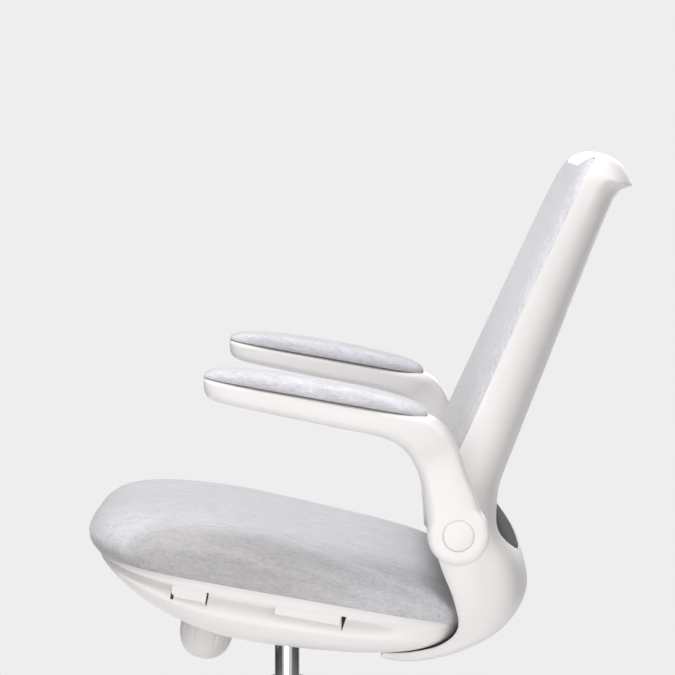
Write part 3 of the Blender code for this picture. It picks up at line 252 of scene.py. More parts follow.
floor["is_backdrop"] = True


# Star base: one white glass-filled nylon moulding, a hub on the column's taper with arched
# tapering legs. The mould leaves its edges round and its skin very finely grained.
def cad_copy(node):
    """A merged copy of a CAD node's mesh."""
    bm = bmesh.new()
    bm.from_mesh(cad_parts[node].data)
    bmesh.ops.remove_doubles(bm, verts=bm.verts, dist=1e-6)
    return bm


def taken(work):
    """The mesh that a working object comes out as; the object goes."""
    ready = work.evaluated_get(bpy.context.evaluated_depsgraph_get())
    made = bmesh.new()
    made.from_mesh(ready.to_mesh())
    ready.to_mesh_clear()
    bpy.data.objects.remove(work)
    return made


def settled(bm, name, voxel):
    """The mesh as even quads, by a voxel remesh."""
    work = placed(name, bm)
    even = work.modifiers.new("even", "REMESH")
    even.mode = "VOXEL"
    even.voxel_size = voxel
    return taken(work)


def relaxed(bm, rounds):
    """The mesh with its points eased toward their neighbours."""
    for _ in range(rounds):
        bmesh.ops.smooth_vert(
            bm, verts=bm.verts, factor=0.5, use_axis_x=True, use_axis_y=True, use_axis_z=True
        )
    return bm


def moulded(bm, name, voxel, rounds):
    """The mesh with its pieces grown together and its edges rounded, as from a mould."""
    return relaxed(settled(bm, name, voxel), rounds)


def piece(name, bm, finish, body, *nodes):
    """A finished piece in its finish, riding on its body and standing for its CAD nodes."""
    made = placed(name, bm)
    made.data.materials.append(finish)
    made.data.shade_smooth()
    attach(made, body)
    if nodes:
        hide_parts(*nodes)
    return made


def white_moulding():
    """White moulded plastic: a faint drift in its colour, a satin that varies, and mould grain."""
    made, shader, place = paint("white_moulding", "white_plastic", 0.36)
    drift = place.noise(7, 3).clear(0.35, 0.65)
    drift.tint((0.860, 0.832, 0.825, 1), (0.880, 0.850, 0.842, 1)).to(shader, "Base Color")
    haze = place.noise(55, 4)
    (0.30 + haze * 0.16).to(shader, "Roughness")
    place.noise(1700, 2, 0.6).emboss(shader, 0.07, 0.0004)
    return made


white = white_moulding()
piece("star_base", moulded(cad_copy("base_star"), "star_base", 0.0024, 8), white, "base", "base_star")


# Casters: a white hood over two grey nylon wheels on one axle, with a zinc stem pressed into
# the hood and clicked into the leg's socket. The wheels' faces are dished round a small boss.
def lathe(profile, steps, matrix=None):
    """A closed turning about Z from radius and height pairs, which run from axis to axis or round a ring."""
    bm = bmesh.new()
    verts = [bm.verts.new((radius, 0, height)) for radius, height in profile]
    edges = [bm.edges.new(pair) for pair in zip(verts, verts[1:])]
    if profile[0][0] > 0:
        edges.append(bm.edges.new((verts[-1], verts[0])))
    bmesh.ops.spin(
        bm, geom=verts + edges, axis=(0, 0, 1), cent=(0, 0, 0), angle=2 * pi, steps=steps, use_merge=True
    )
    bmesh.ops.remove_doubles(bm, verts=bm.verts, dist=1e-6)
    bmesh.ops.recalc_face_normals(bm, faces=bm.faces)
    if matrix:
        bmesh.ops.transform(bm, matrix=matrix, verts=bm.verts)
    return bm


def nylon(name, slot, dark, light, rough):
    """Through-coloured nylon: cloudy colour, scuffed satin and a fine grain."""
    made, shader, place = paint(name, slot, rough)
    cloud = place.noise(38, 5, 0.6)
    cloud.clear(0.3, 0.7).tint((*dark, 1), (*light, 1)).to(shader, "Base Color")
    scuff = place.noise(240, 4, 0.7)
    (rough - 0.08 + scuff * 0.18).to(shader, "Roughness")
    place.noise(1300, 2).emboss(shader, 0.1, 0.0003)
    return made


def bare_metal(name, slot, colour, rough, scale):
    """Plated or cast metal with a cloudy polish."""
    made, shader, place = paint(name, slot, rough, 1.0)
    cloud = place.noise(scale, 4, 0.65)
    dull = [tone * 0.86 for tone in colour]
    cloud.clear(0.3, 0.7).tint((*dull, 1), (*colour, 1)).to(shader, "Base Color")
    (rough * 0.7 + cloud * rough * 0.6).to(shader, "Roughness")
    return made


def smooth_by_angle(made, degrees):
    """The piece with a crisp edge wherever its faces meet at more than an angle."""
    made.data.set_sharp_from_angle(angle=radians(degrees))
    return made


def repaint(finish, *nodes):
    """A new finish for CAD nodes that stay in view."""
    for node in nodes:
        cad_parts[node].data.materials.clear()
        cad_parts[node].data.materials.append(finish)


tyre = nylon("grey_nylon", "grey_nylon", (0.25, 0.25, 0.26), (0.33, 0.33, 0.34), 0.52)
zinc = bare_metal("zinc_plate", "zinc_steel", (0.62, 0.62, 0.60), 0.34, 160)
CASTERS = 5
WHEEL = 0.02445
AXLE_OUT, AXLE_UP = 0.305, 0.02452
tread = [
    (0, 0.0222),
    (0.0052, 0.0222),
    (0.0062, 0.0212),
    (0.0068, 0.0198),
    (0.0150, 0.0206),
    (0.0178, 0.0228),
    (0.0196, 0.0250),
    (0.0212, 0.0252),
    (0.0232, 0.0236),
    (0.0242, 0.0206),
    (WHEEL, 0.0180),
    (WHEEL, 0.0128),
    (0.0238, 0.0104),
    (0.0225, 0.0097),
    (0.0036, 0.0097),
]
tread += [(radius, -height) for radius, height in reversed(tread)]
lie_across = Matrix.Rotation(pi / 2, 4, "Y")
for count in range(CASTERS):
    name = f"caster_{count + 1}"
    round_base = Matrix.Rotation(2 * pi * count / CASTERS, 4, "Z")
    spot = round_base @ Matrix.Translation((0, AXLE_OUT, AXLE_UP)) @ lie_across
    wheels = piece(name + "_twin_wheels", lathe(tread, 72, spot), tyre, name + "_pair", name + "_wheels")
    smooth_by_angle(wheels, 40)
    cover = moulded(cad_copy(name + "_hood"), name + "_cover", 0.0009, 4)
    piece(name + "_cover", cover, white, name, name + "_hood")
    repaint(zinc, name + "_stem")


# Gas lift: a black powder-coated column on the hub's taper with a black guide bush at its mouth, and
# the bright chromed gas tube that slides and turns in it. The rod and bearing inside hardly show.
def powder_coat(name, slot, colour, rough):
    """Powder-coated steel with a slight orange peel."""
    made, shader, place = paint(name, slot, rough)
    cloud = place.noise(26, 4)
    deep = [tone * 0.75 for tone in colour]
    cloud.clear(0.3, 0.7).tint((*deep, 1), (*colour, 1)).to(shader, "Base Color")
    peel = place.noise(620, 2)
    (rough - 0.05 + peel * 0.1).to(shader, "Roughness")
    peel.emboss(shader, 0.12, 0.0004)
    return made


def chromed():
    """Hard chrome on a ground tube: bright, with faint turning marks round it."""
    made, shader, place = paint("chromed_tube", "chrome", 0.08, 1.0)
    marks = place.node("Mapping", {"Vector": place, "Scale": (20, 20, 900)}).noise(1.5, 2)
    marks.tint((0.58, 0.58, 0.59, 1), (0.65, 0.65, 0.66, 1)).to(shader, "Base Color")
    (0.14 + marks * 0.08).to(shader, "Roughness")
    return made


black_coat = powder_coat("black_powder_coat", "black_steel", (0.035, 0.035, 0.037), 0.48)
black_nylon = nylon("black_nylon", "black_nylon", (0.018, 0.018, 0.019), (0.030, 0.030, 0.031), 0.45)
chrome = chromed()
sleeve = [
    (0.0230, 0.0570),
    (0.0236, 0.0560),
    (0.0238, 0.0580),
    (0.0249, 0.1190),
    (0.0250, 0.2738),
    (0.0245, 0.2749),
    (0.0234, 0.2749),
    (0.0231, 0.2738),
]
smooth_by_angle(piece("column_sleeve", lathe(sleeve, 72), black_coat, "base", "column_tube"), 40)
BUSH_BORE = 0.0155
bush = [
    (BUSH_BORE, 0.2775),
    (0.0161, 0.2782),
    (0.0222, 0.2782),
    (0.0244, 0.2772),
    (0.0250, 0.2760),
    (0.0250, 0.2754),
    (0.0228, 0.2752),
    (0.0226, 0.2210),
    (BUSH_BORE, 0.2210),
]
smooth_by_angle(piece("mouth_bush", lathe(bush, 72), black_nylon, "base", "guide_bush"), 40)
TUBE = 0.0152
tube = [
    (0, 0.3720),
    (0.0124, 0.3720),
    (0.0134, 0.3710),
    (0.0140, 0.3445),
    (TUBE, 0.3441),
    (TUBE, 0.1355),
    (0.0130, 0.1341),
    (0.0056, 0.1341),
    (0.0056, 0.1440),
    (0, 0.1440),
]
smooth_by_angle(piece("chrome_tube", lathe(tube, 96), chrome, "mechanism", "gas_cylinder"), 40)
repaint(zinc, "thrust_bearing", "piston_rod", "valve_pin")
repaint(black_coat, "column_clip")


# Tilt mechanism: pressed black steel under the seat, a cast block for the back's tongue and plated
# bolts. The lever is a bent rod with a black paddle, rocking on a saddle that also locks the tilt.
cast = bare_metal("cast_aluminium", "cast_aluminium", (0.46, 0.46, 0.47), 0.5, 420)
repaint(black_coat, "mechanism_housing", "tilt_plate")
repaint(zinc, "tilt_pin", "tension_stud", "tension_spring", "left_arm_axle", "right_arm_axle")
repaint(zinc, *(f"seat_bolt_{count}" for count in range(1, 5)))
repaint(zinc, *(f"back_bolt_{count}" for count in range(1, 4)))
repaint(cast, "back_bracket")
repaint(black_nylon, "lock_slider")
lever_path = [
    (0.018, 0.3834),
    (-0.052, 0.3834),
    (-0.066, 0.3790),
    (-0.094, 0.3300),
    (-0.112, 0.3175),
    (-0.250, 0.3174),
]
rod_line = bpy.data.curves.new("lever_line", "CURVE")
rod_line.dimensions = "3D"
rod_line.bevel_depth = 0.00395
rod_line.bevel_resolution = 5
rod_line.resolution_u = 10
rod_line.use_fill_caps = True
bend = rod_line.splines.new("BEZIER")
bend.bezier_points.add(len(lever_path) - 1)
for knot, (x, z) in zip(bend.bezier_points, lever_path):
    knot.co = (x, 0, z)
    knot.handle_left_type = "AUTO"
    knot.handle_right_type = "AUTO"
rod_work = bpy.data.objects.new("lever_work", rod_line)
scene.collection.objects.link(rod_work)
smooth_by_angle(piece("height_lever", taken(rod_work), black_coat, "lever", "lever_rod"), 40)
paddle = moulded(cad_copy("lever_paddle"), "lever_grip", 0.0011, 6)
piece("lever_grip", paddle, black_nylon, "lever", "lever_paddle")


# Tension knob: a white egg-shaped moulding with shallow grip flutes, hanging on the stud under the
# front of the seat. It leans with the seat, so its mesh is drawn upright and leaned back.
PIN_Y, PIN_Z = -0.050, 0.385
SEAT_LEAN = radians(10)
LEAN = Matrix.Translation((0, PIN_Y, PIN_Z)) @ Matrix.Rotation(-SEAT_LEAN, 4, "X")
LEAN = LEAN @ Matrix.Translation((0, -PIN_Y, -PIN_Z))
UPRIGHT = LEAN.inverted()


def leaned(bm):
    """The upright mesh leaned back with the seat."""
    bmesh.ops.transform(bm, matrix=LEAN, verts=bm.verts)
    return bm


def held(share):
    """A share held between 0 and 1."""
    return min(1, max(0, share))


def eased(points, share):
    """The point at a share of the way through a smooth curve through given points."""
    last = len(points) - 1
    spot = held(share) * last
    i = min(int(spot), last - 1)
    t = spot - i
    a, b, c, d = (points[min(max(i + k, 0), last)] for k in (-1, 0, 1, 2))
    return tuple(
        0.5 * (2 * q + (r - p) * t + (2 * p - 5 * q + 4 * r - s) * t * t + (3 * q - p - 3 * r + s) * t**3)
        for p, q, r, s in zip(a, b, c, d)
    )


KNOB_Y, KNOB_FOOT = -0.088, 0.2935
KNOB_GROWN = 1.04
FLUTES, FLUTE_DEEP = 14, 0.038
# radius and height of the knob's outside from its foot up, then its hollow top
knob_flare = [(0.0, 0), (0.0040, 0.0001), (0.0112, 0.0012), (0.0180, 0.0048), (0.0232, 0.0095)]
knob_flare += [(0.0273, 0.0165), (0.0301, 0.026), (0.0310, 0.036), (0.0305, 0.046), (0.0295, 0.051)]
knob_side = [eased(knob_flare, i / 45) for i in range(46)]
knob_side += [(0.0275, 0.0510), (0.0268, 0.0240), (0.0210, 0.0110), (0, 0.0110)]
knob = lathe(knob_side, 144)
for vert in knob.verts:
    radius = vert.co.xy.length
    past_foot = held((vert.co.z - 0.004) / 0.012)
    on_skin = held((radius - 0.0285 + vert.co.z * 0.02) / 0.001)
    around = Vector((1, 0)).angle_signed(vert.co.xy, 0) if radius > 1e-5 else 0
    flute = max(0, cos(FLUTES * around)) ** 8
    vert.co.xy *= KNOB_GROWN - FLUTE_DEEP * (past_foot * on_skin) * flute
bmesh.ops.translate(knob, verts=knob.verts, vec=(0, KNOB_Y, KNOB_FOOT))
piece("grip_knob", leaned(knob), white, "knob", "tension_knob")


# Seat pan: a white moulded hull under the cushion. A band runs round its rim, under it a long scoop
# for the fingers with a clip and a wide block on each side, and its bottom is open to the mechanism.
RIM_Z, RIM_LIP = 0.4305, 0.004
BAND = 0.0145
SCOOP_TOP, SCOOP_FOOT, SCOOP_IN = 0.013, 0.039, 0.0046
KEEL_Y, KEEL_TRIM = -0.030, 0.985
PAN_WALL = 0.0028
SEAT = {"half": 0.240, "front": -0.229, "rear": 0.2055, "centre": -0.010, "nose": 4.4, "tail": 8.0}
MOUTH = {"half": 0.116, "front": -0.140, "rear": 0.168, "centre": -0.010, "nose": 5, "tail": 5}
# inset from the rim and depth below it, from the mouth up the side and over the rim
pan_side = [(0.124, 0.0745), (0.070, 0.0715), (0.035, 0.0665), (0.018, 0.0590), (0.0085, 0.0500)]
pan_side += [(0.0046, 0.0390), (0.0080, 0.0290), (0.0122, 0.0215), (0.0126, 0.0172), (0.0090, 0.0156)]
pan_side += [(0.0020, 0.0150), (0.0004, 0.0144), (0.0, 0.0130), (0.0, 0.0080), (0.0, 0.0025)]
pan_side += [(0.0007, 0.0007), (0.0025, 0.0), (0.0180, 0.0), (0.0340, 0.0)]


def step_up(value, low, high):
    """A smooth rise from 0 at low to 1 at high."""
    t = held((value - low) / (high - low))
    return t * t * (3 - 2 * t)


def bent(value, power):
    """A power that keeps the value's sign."""
    return abs(value) ** power * (1 if value > 0 else -1)


def oval(angle, half, front, rear, centre, nose, tail):
    """A superellipse with its own front and rear."""
    c, s = cos(angle), sin(angle)
    power = 2 / (tail if s > 0 else nose)
    reach = rear - centre if s > 0 else centre - front
    return half * bent(c, power), centre + reach * bent(s, power)


def keel(y):
    """Depth of the pan along the seat, as a share: raked in front, round behind."""
    if y < KEEL_Y:
        return max(0, 1 - ((y - KEEL_Y) / (SEAT["front"] - KEEL_Y)) ** 2) ** 0.82
    return max(0, 1 - ((y - KEEL_Y) / (SEAT["rear"] - KEEL_Y)) ** 1.7) ** 0.365


def pan_place(u, v):
    inset, depth = eased(pan_side, v)
    rim_x, rim_y = oval(2 * pi * u, **SEAT)
    mouth_x, mouth_y = oval(2 * pi * u, **MOUTH)
    if SCOOP_TOP < depth < SCOOP_FOOT:
        straight = SCOOP_IN * (depth - SCOOP_TOP) / (SCOOP_FOOT - SCOOP_TOP)
        inset += (straight - inset) * step_up(rim_y, 0.09, 0.16)
    share = inset / (SEAT["half"] - MOUTH["half"])
    x, y = rim_x + (mouth_x - rim_x) * share, rim_y + (mouth_y - rim_y) * share
    if depth <= BAND:
        drop = min(depth, RIM_LIP + depth * keel(rim_y * KEEL_TRIM))
    else:
        drop = RIM_LIP + BAND * keel(rim_y * KEEL_TRIM) + (depth - BAND) * keel(y)
    return Vector((x, y, RIM_Z - drop))


def loft(columns, rows, place, joined=False):
    """A sheet of quads with its points where place(u, v) says, for u across and v along from 0 to 1."""
    bm = bmesh.new()
    bmesh.ops.create_grid(bm, x_segments=columns, y_segments=rows, size=1)
    for vert in bm.verts:
        vert.co = place((vert.co.x + 1) / 2, (vert.co.y + 1) / 2)
    if joined:
        bmesh.ops.remove_doubles(bm, verts=bm.verts, dist=1e-6)
    return bm


def finer(made):
    """The piece with one level of subdivision."""
    soft = made.modifiers.new("smooth", "SUBSURF")
    soft.levels = 1
    soft.render_levels = 1
    return made


def thicken(made, wall):
    """A wall inside the outer skin, then a smooth surface."""
    shell = made.modifiers.new("wall", "SOLIDIFY")
    shell.thickness = wall
    shell.offset = -1
    shell.use_even_offset = True
    return finer(made)


def as_mesh(made):
    """The piece's modifiers made into its mesh."""
    ready = made.evaluated_get(bpy.context.evaluated_depsgraph_get())
    mesh = bpy.data.meshes.new_from_object(ready)
    made.modifiers.clear()
    made.data = mesh
    return made


def carve(made, tool_mesh):
    """Cuts a closed shape out of the piece."""
    tool = placed("tool", tool_mesh)
    cut = made.modifiers.new("cut", "BOOLEAN")
    cut.operation = "DIFFERENCE"
    cut.object = tool
    as_mesh(made)
    bpy.data.objects.remove(tool)


def lean_back(made, degrees):
    """The carved piece leaned back with the seat, its shading smooth up to an angle."""
    made.data.transform(LEAN)
    made.data.shade_smooth()
    return smooth_by_angle(made, degrees)


def rim_half(y):
    """Half width of the rim at a place along the seat."""
    end, power = (SEAT["rear"], SEAT["tail"]) if y > SEAT["centre"] else (SEAT["front"], SEAT["nose"])
    share = abs((y - SEAT["centre"]) / (end - SEAT["centre"]))
    return SEAT["half"] * (1 - share**power) ** (1 / power)


# slots beside each front clip and a tapering one behind each wide block: front, rear, foot share, depth
SLOTS = (
    (-0.1280, -0.1244, 1, 0.0150),
    (-0.0876, -0.0858, 1, 0.0150),
    (0.0668, 0.0728, 0.1, 0.0160),
)
SLOT_DROP, SLOT_IN, SLOT_LONG = 0.0040, 0.006, 0.030
slots = bmesh.new()
for side in (-1, 1):
    for low, high, foot, deep in SLOTS:
        for vert in bmesh.ops.create_cube(slots, size=1)["verts"]:
            narrow = foot if vert.co.z < 0 else 1
            y = (low + high) / 2 + (high - low) * vert.co.y * narrow
            z = RIM_Z - BAND - SLOT_DROP - deep * (0.5 - vert.co.z)
            vert.co = (side * (rim_half(y) - SLOT_IN + SLOT_LONG * vert.co.x), y, z)
bmesh.ops.recalc_face_normals(slots, faces=slots.faces)
hull = loft(168, 70, pan_place, True)
pan = as_mesh(thicken(piece("seat_hull", hull, white, "seat", "seat_pan"), PAN_WALL))
carve(pan, slots)
lean_back(pan, 38)

# the front clip and the wide block on each side: front, rear, depth
CLIPS = (
    (-0.1240, -0.0878, 0.0150),
    (-0.009, 0.0666, 0.0135),
)
CLIP_DROP, CLIP_IN, CLIP_OUT, CLIP_DRAFT = 0.0005, 0.0140, 0.0008, 0.0020
clips = bmesh.new()
for side in (-1, 1):
    for low, high, deep in CLIPS:
        for vert in bmesh.ops.create_cube(clips, size=1)["verts"]:
            y = low + (high - low) * (vert.co.y + 0.5)
            z = RIM_Z - BAND - CLIP_DROP - deep * (0.5 - vert.co.z)
            inner = rim_half(y) - CLIP_IN
            outer = rim_half(y) - CLIP_OUT - (CLIP_DRAFT if vert.co.z < 0 else 0)
            vert.co = (side * (inner + (outer - inner) * (vert.co.x + 0.5)), y, z)
bmesh.ops.recalc_face_normals(clips, faces=clips.faces)
clip_blocks = smooth_by_angle(piece("seat_clips", leaned(clips), white, "seat"), 30)
trim = clip_blocks.modifiers.new("edges", "BEVEL")
trim.width = 0.0007
trim.segments = 3
trim.limit_method = "ANGLE"


# Seat cushion: moulded foam on a plywood board under grey heather cloth, stretched over a waterfall
# nose and stapled under the rim. It swells a little between its edges, so its form is run as cloth.
def heather(name, lean, long_way, pale):
    """Melange cloth: fine pale and dark yarn streaks one way, soft clouds and a fine weave under a pale
    fuzz. Its colour
    holds painted light and shade: a lighter tone where a point is marked lit, on top, and a darker tone of
    painted shade down the sides; pale brightens a whole copy of the cloth as painted light."""
    made, shader, place = paint(name, "heather_fabric", 0.95)
    shader.inputs["Specular IOR Level"].default_value = 0.15
    shader.inputs["Sheen Weight"].default_value = 0.35
    shader.inputs["Sheen Roughness"].default_value = 0.45
    laid = place.node("Mapping", {"Vector": place, "Rotation": (lean, 0, 0)})
    along = laid.node("Mapping", {"Vector": laid, "Scale": long_way})
    streak = along.noise(620, 4, 0.60)
    cloud = along.noise(150, 3, 0.55)
    yarn = laid.noise(1900, 3, 0.7)
    nap = place.node("Attribute", None, {"attribute_name": "nap"}, 2)
    tone = streak * 0.42 + cloud * 0.26 + yarn * 0.32
    # the darker tone is painted shade and the lighter tone is painted light
    shade_tone, light_tone = (0.495, 0.479, 0.488), (0.700, 0.694, 0.732)
    faces = []
    for colour in (shade_tone, light_tone):
        yarns = ((0.38, 0.78), (0.51, 1.0), (0.64, 1.18))
        stops = [(spot, [part * depth * pale for part in colour]) for spot, depth in yarns]
        faces.append(tone.node("ValToRGB", {0: tone}, {"stops": stops}))
    nap.tint(*faces).to(shader, "Base Color")
    thread = {"Vector": laid, "Scale": 330, "Distortion": 1.2, "Detail Scale": 2}
    weft = laid.node("TexWave", thread, {"bands_direction": "DIAGONAL"}, 1)
    thread["Vector"] = laid.node("Mapping", {"Vector": laid, "Rotation": (0, 0, radians(90))})
    warp = laid.node("TexWave", thread, {"bands_direction": "DIAGONAL"}, 1)
    (weft * warp + yarn * 0.7).emboss(shader, 0.25, 0.0005)
    return made


CLOTH_FRAMES = 20


def stuffed(bm, name, voxel, most, hold):
    """Foam swelling under its cover, by a short cloth run; a point moves by most * hold(point) at most."""
    even = relaxed(settled(bm, name, voxel), 3)
    work = placed(name, even.copy())
    cloth = work.modifiers.new("cover", "CLOTH")
    cloth.settings.use_pressure = True
    cloth.settings.uniform_pressure_force = 4
    cloth.settings.effector_weights.gravity = 0
    for step in range(1, CLOTH_FRAMES + 1):
        scene.frame_set(step)
    ready = work.evaluated_get(bpy.context.evaluated_depsgraph_get())
    swelled = [vert.co.copy() for vert in ready.data.vertices]
    scene.frame_set(1)
    bpy.data.objects.remove(work)
    for vert, end in zip(even.verts, swelled):
        move = end - vert.co
        limit = most * hold(vert.co)
        if move.length > limit:
            move *= limit / move.length
        vert.co += move
    return relaxed(even, 1)


def trimmed(bm, height):
    """The mesh cut off flat below a height on the upright seat and closed there, with a crisp edge."""
    crease = bm.edges.layers.float.new("crease_edge")
    geom = bm.verts[:] + bm.edges[:] + bm.faces[:]
    at = LEAN @ Vector((0, 0, height))
    up = LEAN.to_3x3() @ Vector((0, 0, 1))
    cut = bmesh.ops.bisect_plane(bm, geom=geom, plane_co=at, plane_no=up, clear_inner=True)
    rim = [item for item in cut["geom_cut"] if isinstance(item, bmesh.types.BMEdge)]
    closed = bmesh.ops.holes_fill(bm, edges=rim, sides=0)["faces"]
    bmesh.ops.triangulate(bm, faces=closed)
    for edge in rim:
        edge[crease] = 1
    return bm


def mark_painted_light(bm, light_share):
    """Marks the share of painted light at each point, 0 for painted shade and 1 for lit, by the given
    function of normal and point.
    """
    nap = bm.verts.layers.float.new("nap")
    bm.normal_update()
    for vert in bm.verts:
        vert[nap] = light_share(vert.normal, vert.co)
    return bm


SWELL = 0.0030
LAP = 0.0055
CUSHION_HALF, CUSHION_REAR = 0.249 - SWELL * 0.6, 0.213
CUSHION_TOP = 0.4875 - SWELL * 0.9
NOSE_SHARE, NOSE_REACH = 0.22, 0.2468
MIDDLE_INSET = 0.245
# inset and share of the height above the rim, from underneath round the side to the middle of the top
seat_side = [(0.245, -0.36), (0.060, -0.36), (0.0080, -0.36), (0.0052, -0.24), (0.0042, -0.12)]
seat_side += [(0.0030, 0.02), (0.0016, 0.18), (0.0005, 0.31), (0.0, 0.42), (0.0035, 0.55), (0.0165, 0.71)]
seat_side += [(0.0385, 0.84), (0.065, 0.92), (0.105, 0.975), (0.155, 1.0), (0.200, 1.005), (0.245, 1.005)]


def seat_place(u, v):
    inset, share = eased(seat_side, v)
    shrink = max(0, 1 - inset / MIDDLE_INSET)
    if share > NOSE_SHARE:
        reach = NOSE_REACH - 0.0032 * min(1, (share - NOSE_SHARE) / 0.20) ** 2
    else:
        reach = NOSE_REACH - 0.0135 * ((share - NOSE_SHARE) / 0.316) ** 2
    nose = SEAT["nose"] - 1.5 * held(share)
    tail = SEAT["tail"] - 2.4 * step_up(share, 0, 0.6)
    ring = [shrink * size for size in (CUSHION_HALF, -reach, CUSHION_REAR, SEAT["centre"])]
    x, y = oval(2 * pi * u, *ring, nose, tail)
    narrow = 1 - 0.035 * max(0, y / CUSHION_REAR) ** 2 * step_up(share, 0, 0.5)
    fall = 0.068 * max(0, y + 0.09) ** 1.2 * step_up(share, 0.25, 0.60)
    z = RIM_Z + (CUSHION_TOP - RIM_Z) * share - fall
    return Vector((x * narrow, y, z))


def seat_hold(point):
    return step_up((UPRIGHT @ point).z, RIM_Z - 0.006, RIM_Z + 0.022)


def seat_painted_light(normal, point):
    """Share of painted light: lit on top, with painted shade reaching in over the side edges and down faces
    turned from the light, least behind and at the nose; the rear, shaded by the back, is painted lighter,
    and the front a little darker.
    """
    spot = UPRIGHT @ point
    behind = step_up(spot.y, -0.05, 0.13)
    deep = 0.056 * (1 - 0.85 * behind) * (1 - step_up(-spot.y, 0.14, 0.225))
    side = step_up(CUSHION_HALF - abs(spot.x), 0.3 * deep, 1.2 * deep + 0.012)
    side = max(side, 0.5 * behind)
    return min(side, step_up(normal.z, -0.2, 0.5) + 0.4 * behind) * (0.82 + 0.18 * behind)


seat_cloth = heather("seat_heather", SEAT_LEAN, (1.0, 0.24, 1.0), 1.0)
foam = leaned(loft(200, 84, seat_place, True))
bmesh.ops.recalc_face_normals(foam, faces=foam.faces)
foam = stuffed(foam, "seat_foam", 0.005, SWELL, seat_hold)
# the seat's painted light: lit on top, with painted shade down its sides
mark_painted_light(trimmed(foam, RIM_Z - LAP), seat_painted_light)
cushion = finer(piece("seat_foam", foam, seat_cloth, "seat", "seat_cushion"))


def plywood():
    """Birch ply: pale veneer with long grain."""
    made, shader, place = paint("plywood", "plywood", 0.75)
    grain = place.node("Mapping", {"Vector": place, "Scale": (40, 3, 60)}).noise(3, 6, 0.65)
    grain.clear(0.3, 0.7).tint((0.45, 0.31, 0.17, 1), (0.62, 0.46, 0.28, 1)).to(shader, "Base Color")
    grain.emboss(shader, 0.15, 0.0004)
    return made


repaint(plywood(), "seat_board")


# Back shell: one white moulding from the tongue bolted under the seat, round the bucket behind it and
# up the side walls to a roof with a flared lip. A long window is left in its waist for the lumbar panel.
WALL = 0.0045
# stations up the shell: y and z of its front edge, y and z of its spine, half width, power of its corners
SHELL = (
    (0.120, 0.3728, 0.120, 0.3620, 0.196, 5.0),
    (0.150, 0.3805, 0.160, 0.3655, 0.208, 5.0),
    (0.182, 0.3960, 0.214, 0.3890, 0.221, 4.6),
    (0.1985, 0.4200, 0.2580, 0.4230, 0.230, 4.1),
    (0.1880, 0.4520, 0.2760, 0.4630, 0.2345, 4.1),
    (0.1640, 0.4920, 0.2645, 0.4980, 0.2365, 4.6),
    (0.1480, 0.5310, 0.2335, 0.5330, 0.2355, 4.8),
    (0.1510, 0.5750, 0.2225, 0.5730, 0.230, 4.6),
    (0.1700, 0.6400, 0.2330, 0.6300, 0.221, 4.0),
    (0.1950, 0.7400, 0.2540, 0.7300, 0.213, 3.6),
    (0.2200, 0.8350, 0.2740, 0.8280, 0.205, 3.5),
    (0.2400, 0.9080, 0.2895, 0.9020, 0.1975, 3.5),
    (0.2490, 0.9440, 0.2990, 0.9340, 0.191, 3.5),
    (0.2525, 0.9540, 0.3150, 0.9460, 0.186, 3.6),
)
# the flared lip, the roof, and its short lip down over the pad's top
ROOF = (
    SHELL[-1],
    (0.2545, 0.9595, 0.3090, 0.9570, 0.178, 3.6),
    (0.2570, 0.9650, 0.2980, 0.9690, 0.168, 3.6),
    (0.2595, 0.9690, 0.2820, 0.9765, 0.155, 3.6),
    (0.2620, 0.9710, 0.2660, 0.9750, 0.141, 3.6),
    (0.2575, 0.9695, 0.2570, 0.9712, 0.134, 3.6),
    (0.2515, 0.9645, 0.2495, 0.9655, 0.128, 3.6),
    (0.2475, 0.9580, 0.2452, 0.9578, 0.122, 3.6),
)
ROOF_FROM = 0.87
EYE_Z = 0.536
EYE_HALF, EYE_HIGH = 0.184, 0.037
EYE_NEAR, EYE_FAR = 0.165, 0.32


def shell_station(v):
    """The shell's station at a share of the way up it."""
    if v < ROOF_FROM:
        return eased(SHELL, v / ROOF_FROM)
    return eased(ROOF, (v - ROOF_FROM) / (1 - ROOF_FROM))


def shell_skin(station, across):
    """A point of the outer skin; across runs from -1 to 1."""
    front_y, front_z, spine_y, spine_z, half, power = station
    deep = max(0, 1 - abs(across) ** power) ** (1 / power)
    y = front_y + (spine_y - front_y) * deep
    z = front_z + (spine_z - front_z) * deep
    return Vector((half * across, y, z))


def shell_place(u, v):
    station = shell_station(v)
    return shell_skin(station, bent(cos(pi * u), 2 / station[5]))


def raised(bm, way):
    """The flat mesh made into a closed prism."""
    grown = bmesh.ops.extrude_face_region(bm, geom=bm.faces[:])["geom"]
    ends = [item for item in grown if isinstance(item, bmesh.types.BMVert)]
    bmesh.ops.translate(bm, verts=ends, vec=way)
    bmesh.ops.recalc_face_normals(bm, faces=bm.faces)
    return bm


def eye_prism():
    """The window's eye-shaped cutter, standing across the back."""
    bm = bmesh.new()
    bmesh.ops.create_circle(bm, cap_ends=True, segments=120, radius=1)
    bmesh.ops.scale(bm, verts=bm.verts, vec=(EYE_HALF, EYE_HIGH, 1))
    bmesh.ops.rotate(bm, verts=bm.verts, cent=(0, 0, 0), matrix=Matrix.Rotation(pi / 2, 3, "X"))
    bmesh.ops.translate(bm, verts=bm.verts, vec=(0, EYE_NEAR, EYE_Z))
    return raised(bm, (0, EYE_FAR - EYE_NEAR, 0))


hull = loft(80, 148, shell_place)
back = as_mesh(thicken(piece("back_moulding", hull, white, "seat", "back_shell"), WALL))
carve(back, eye_prism())
lean_back(back, 38)


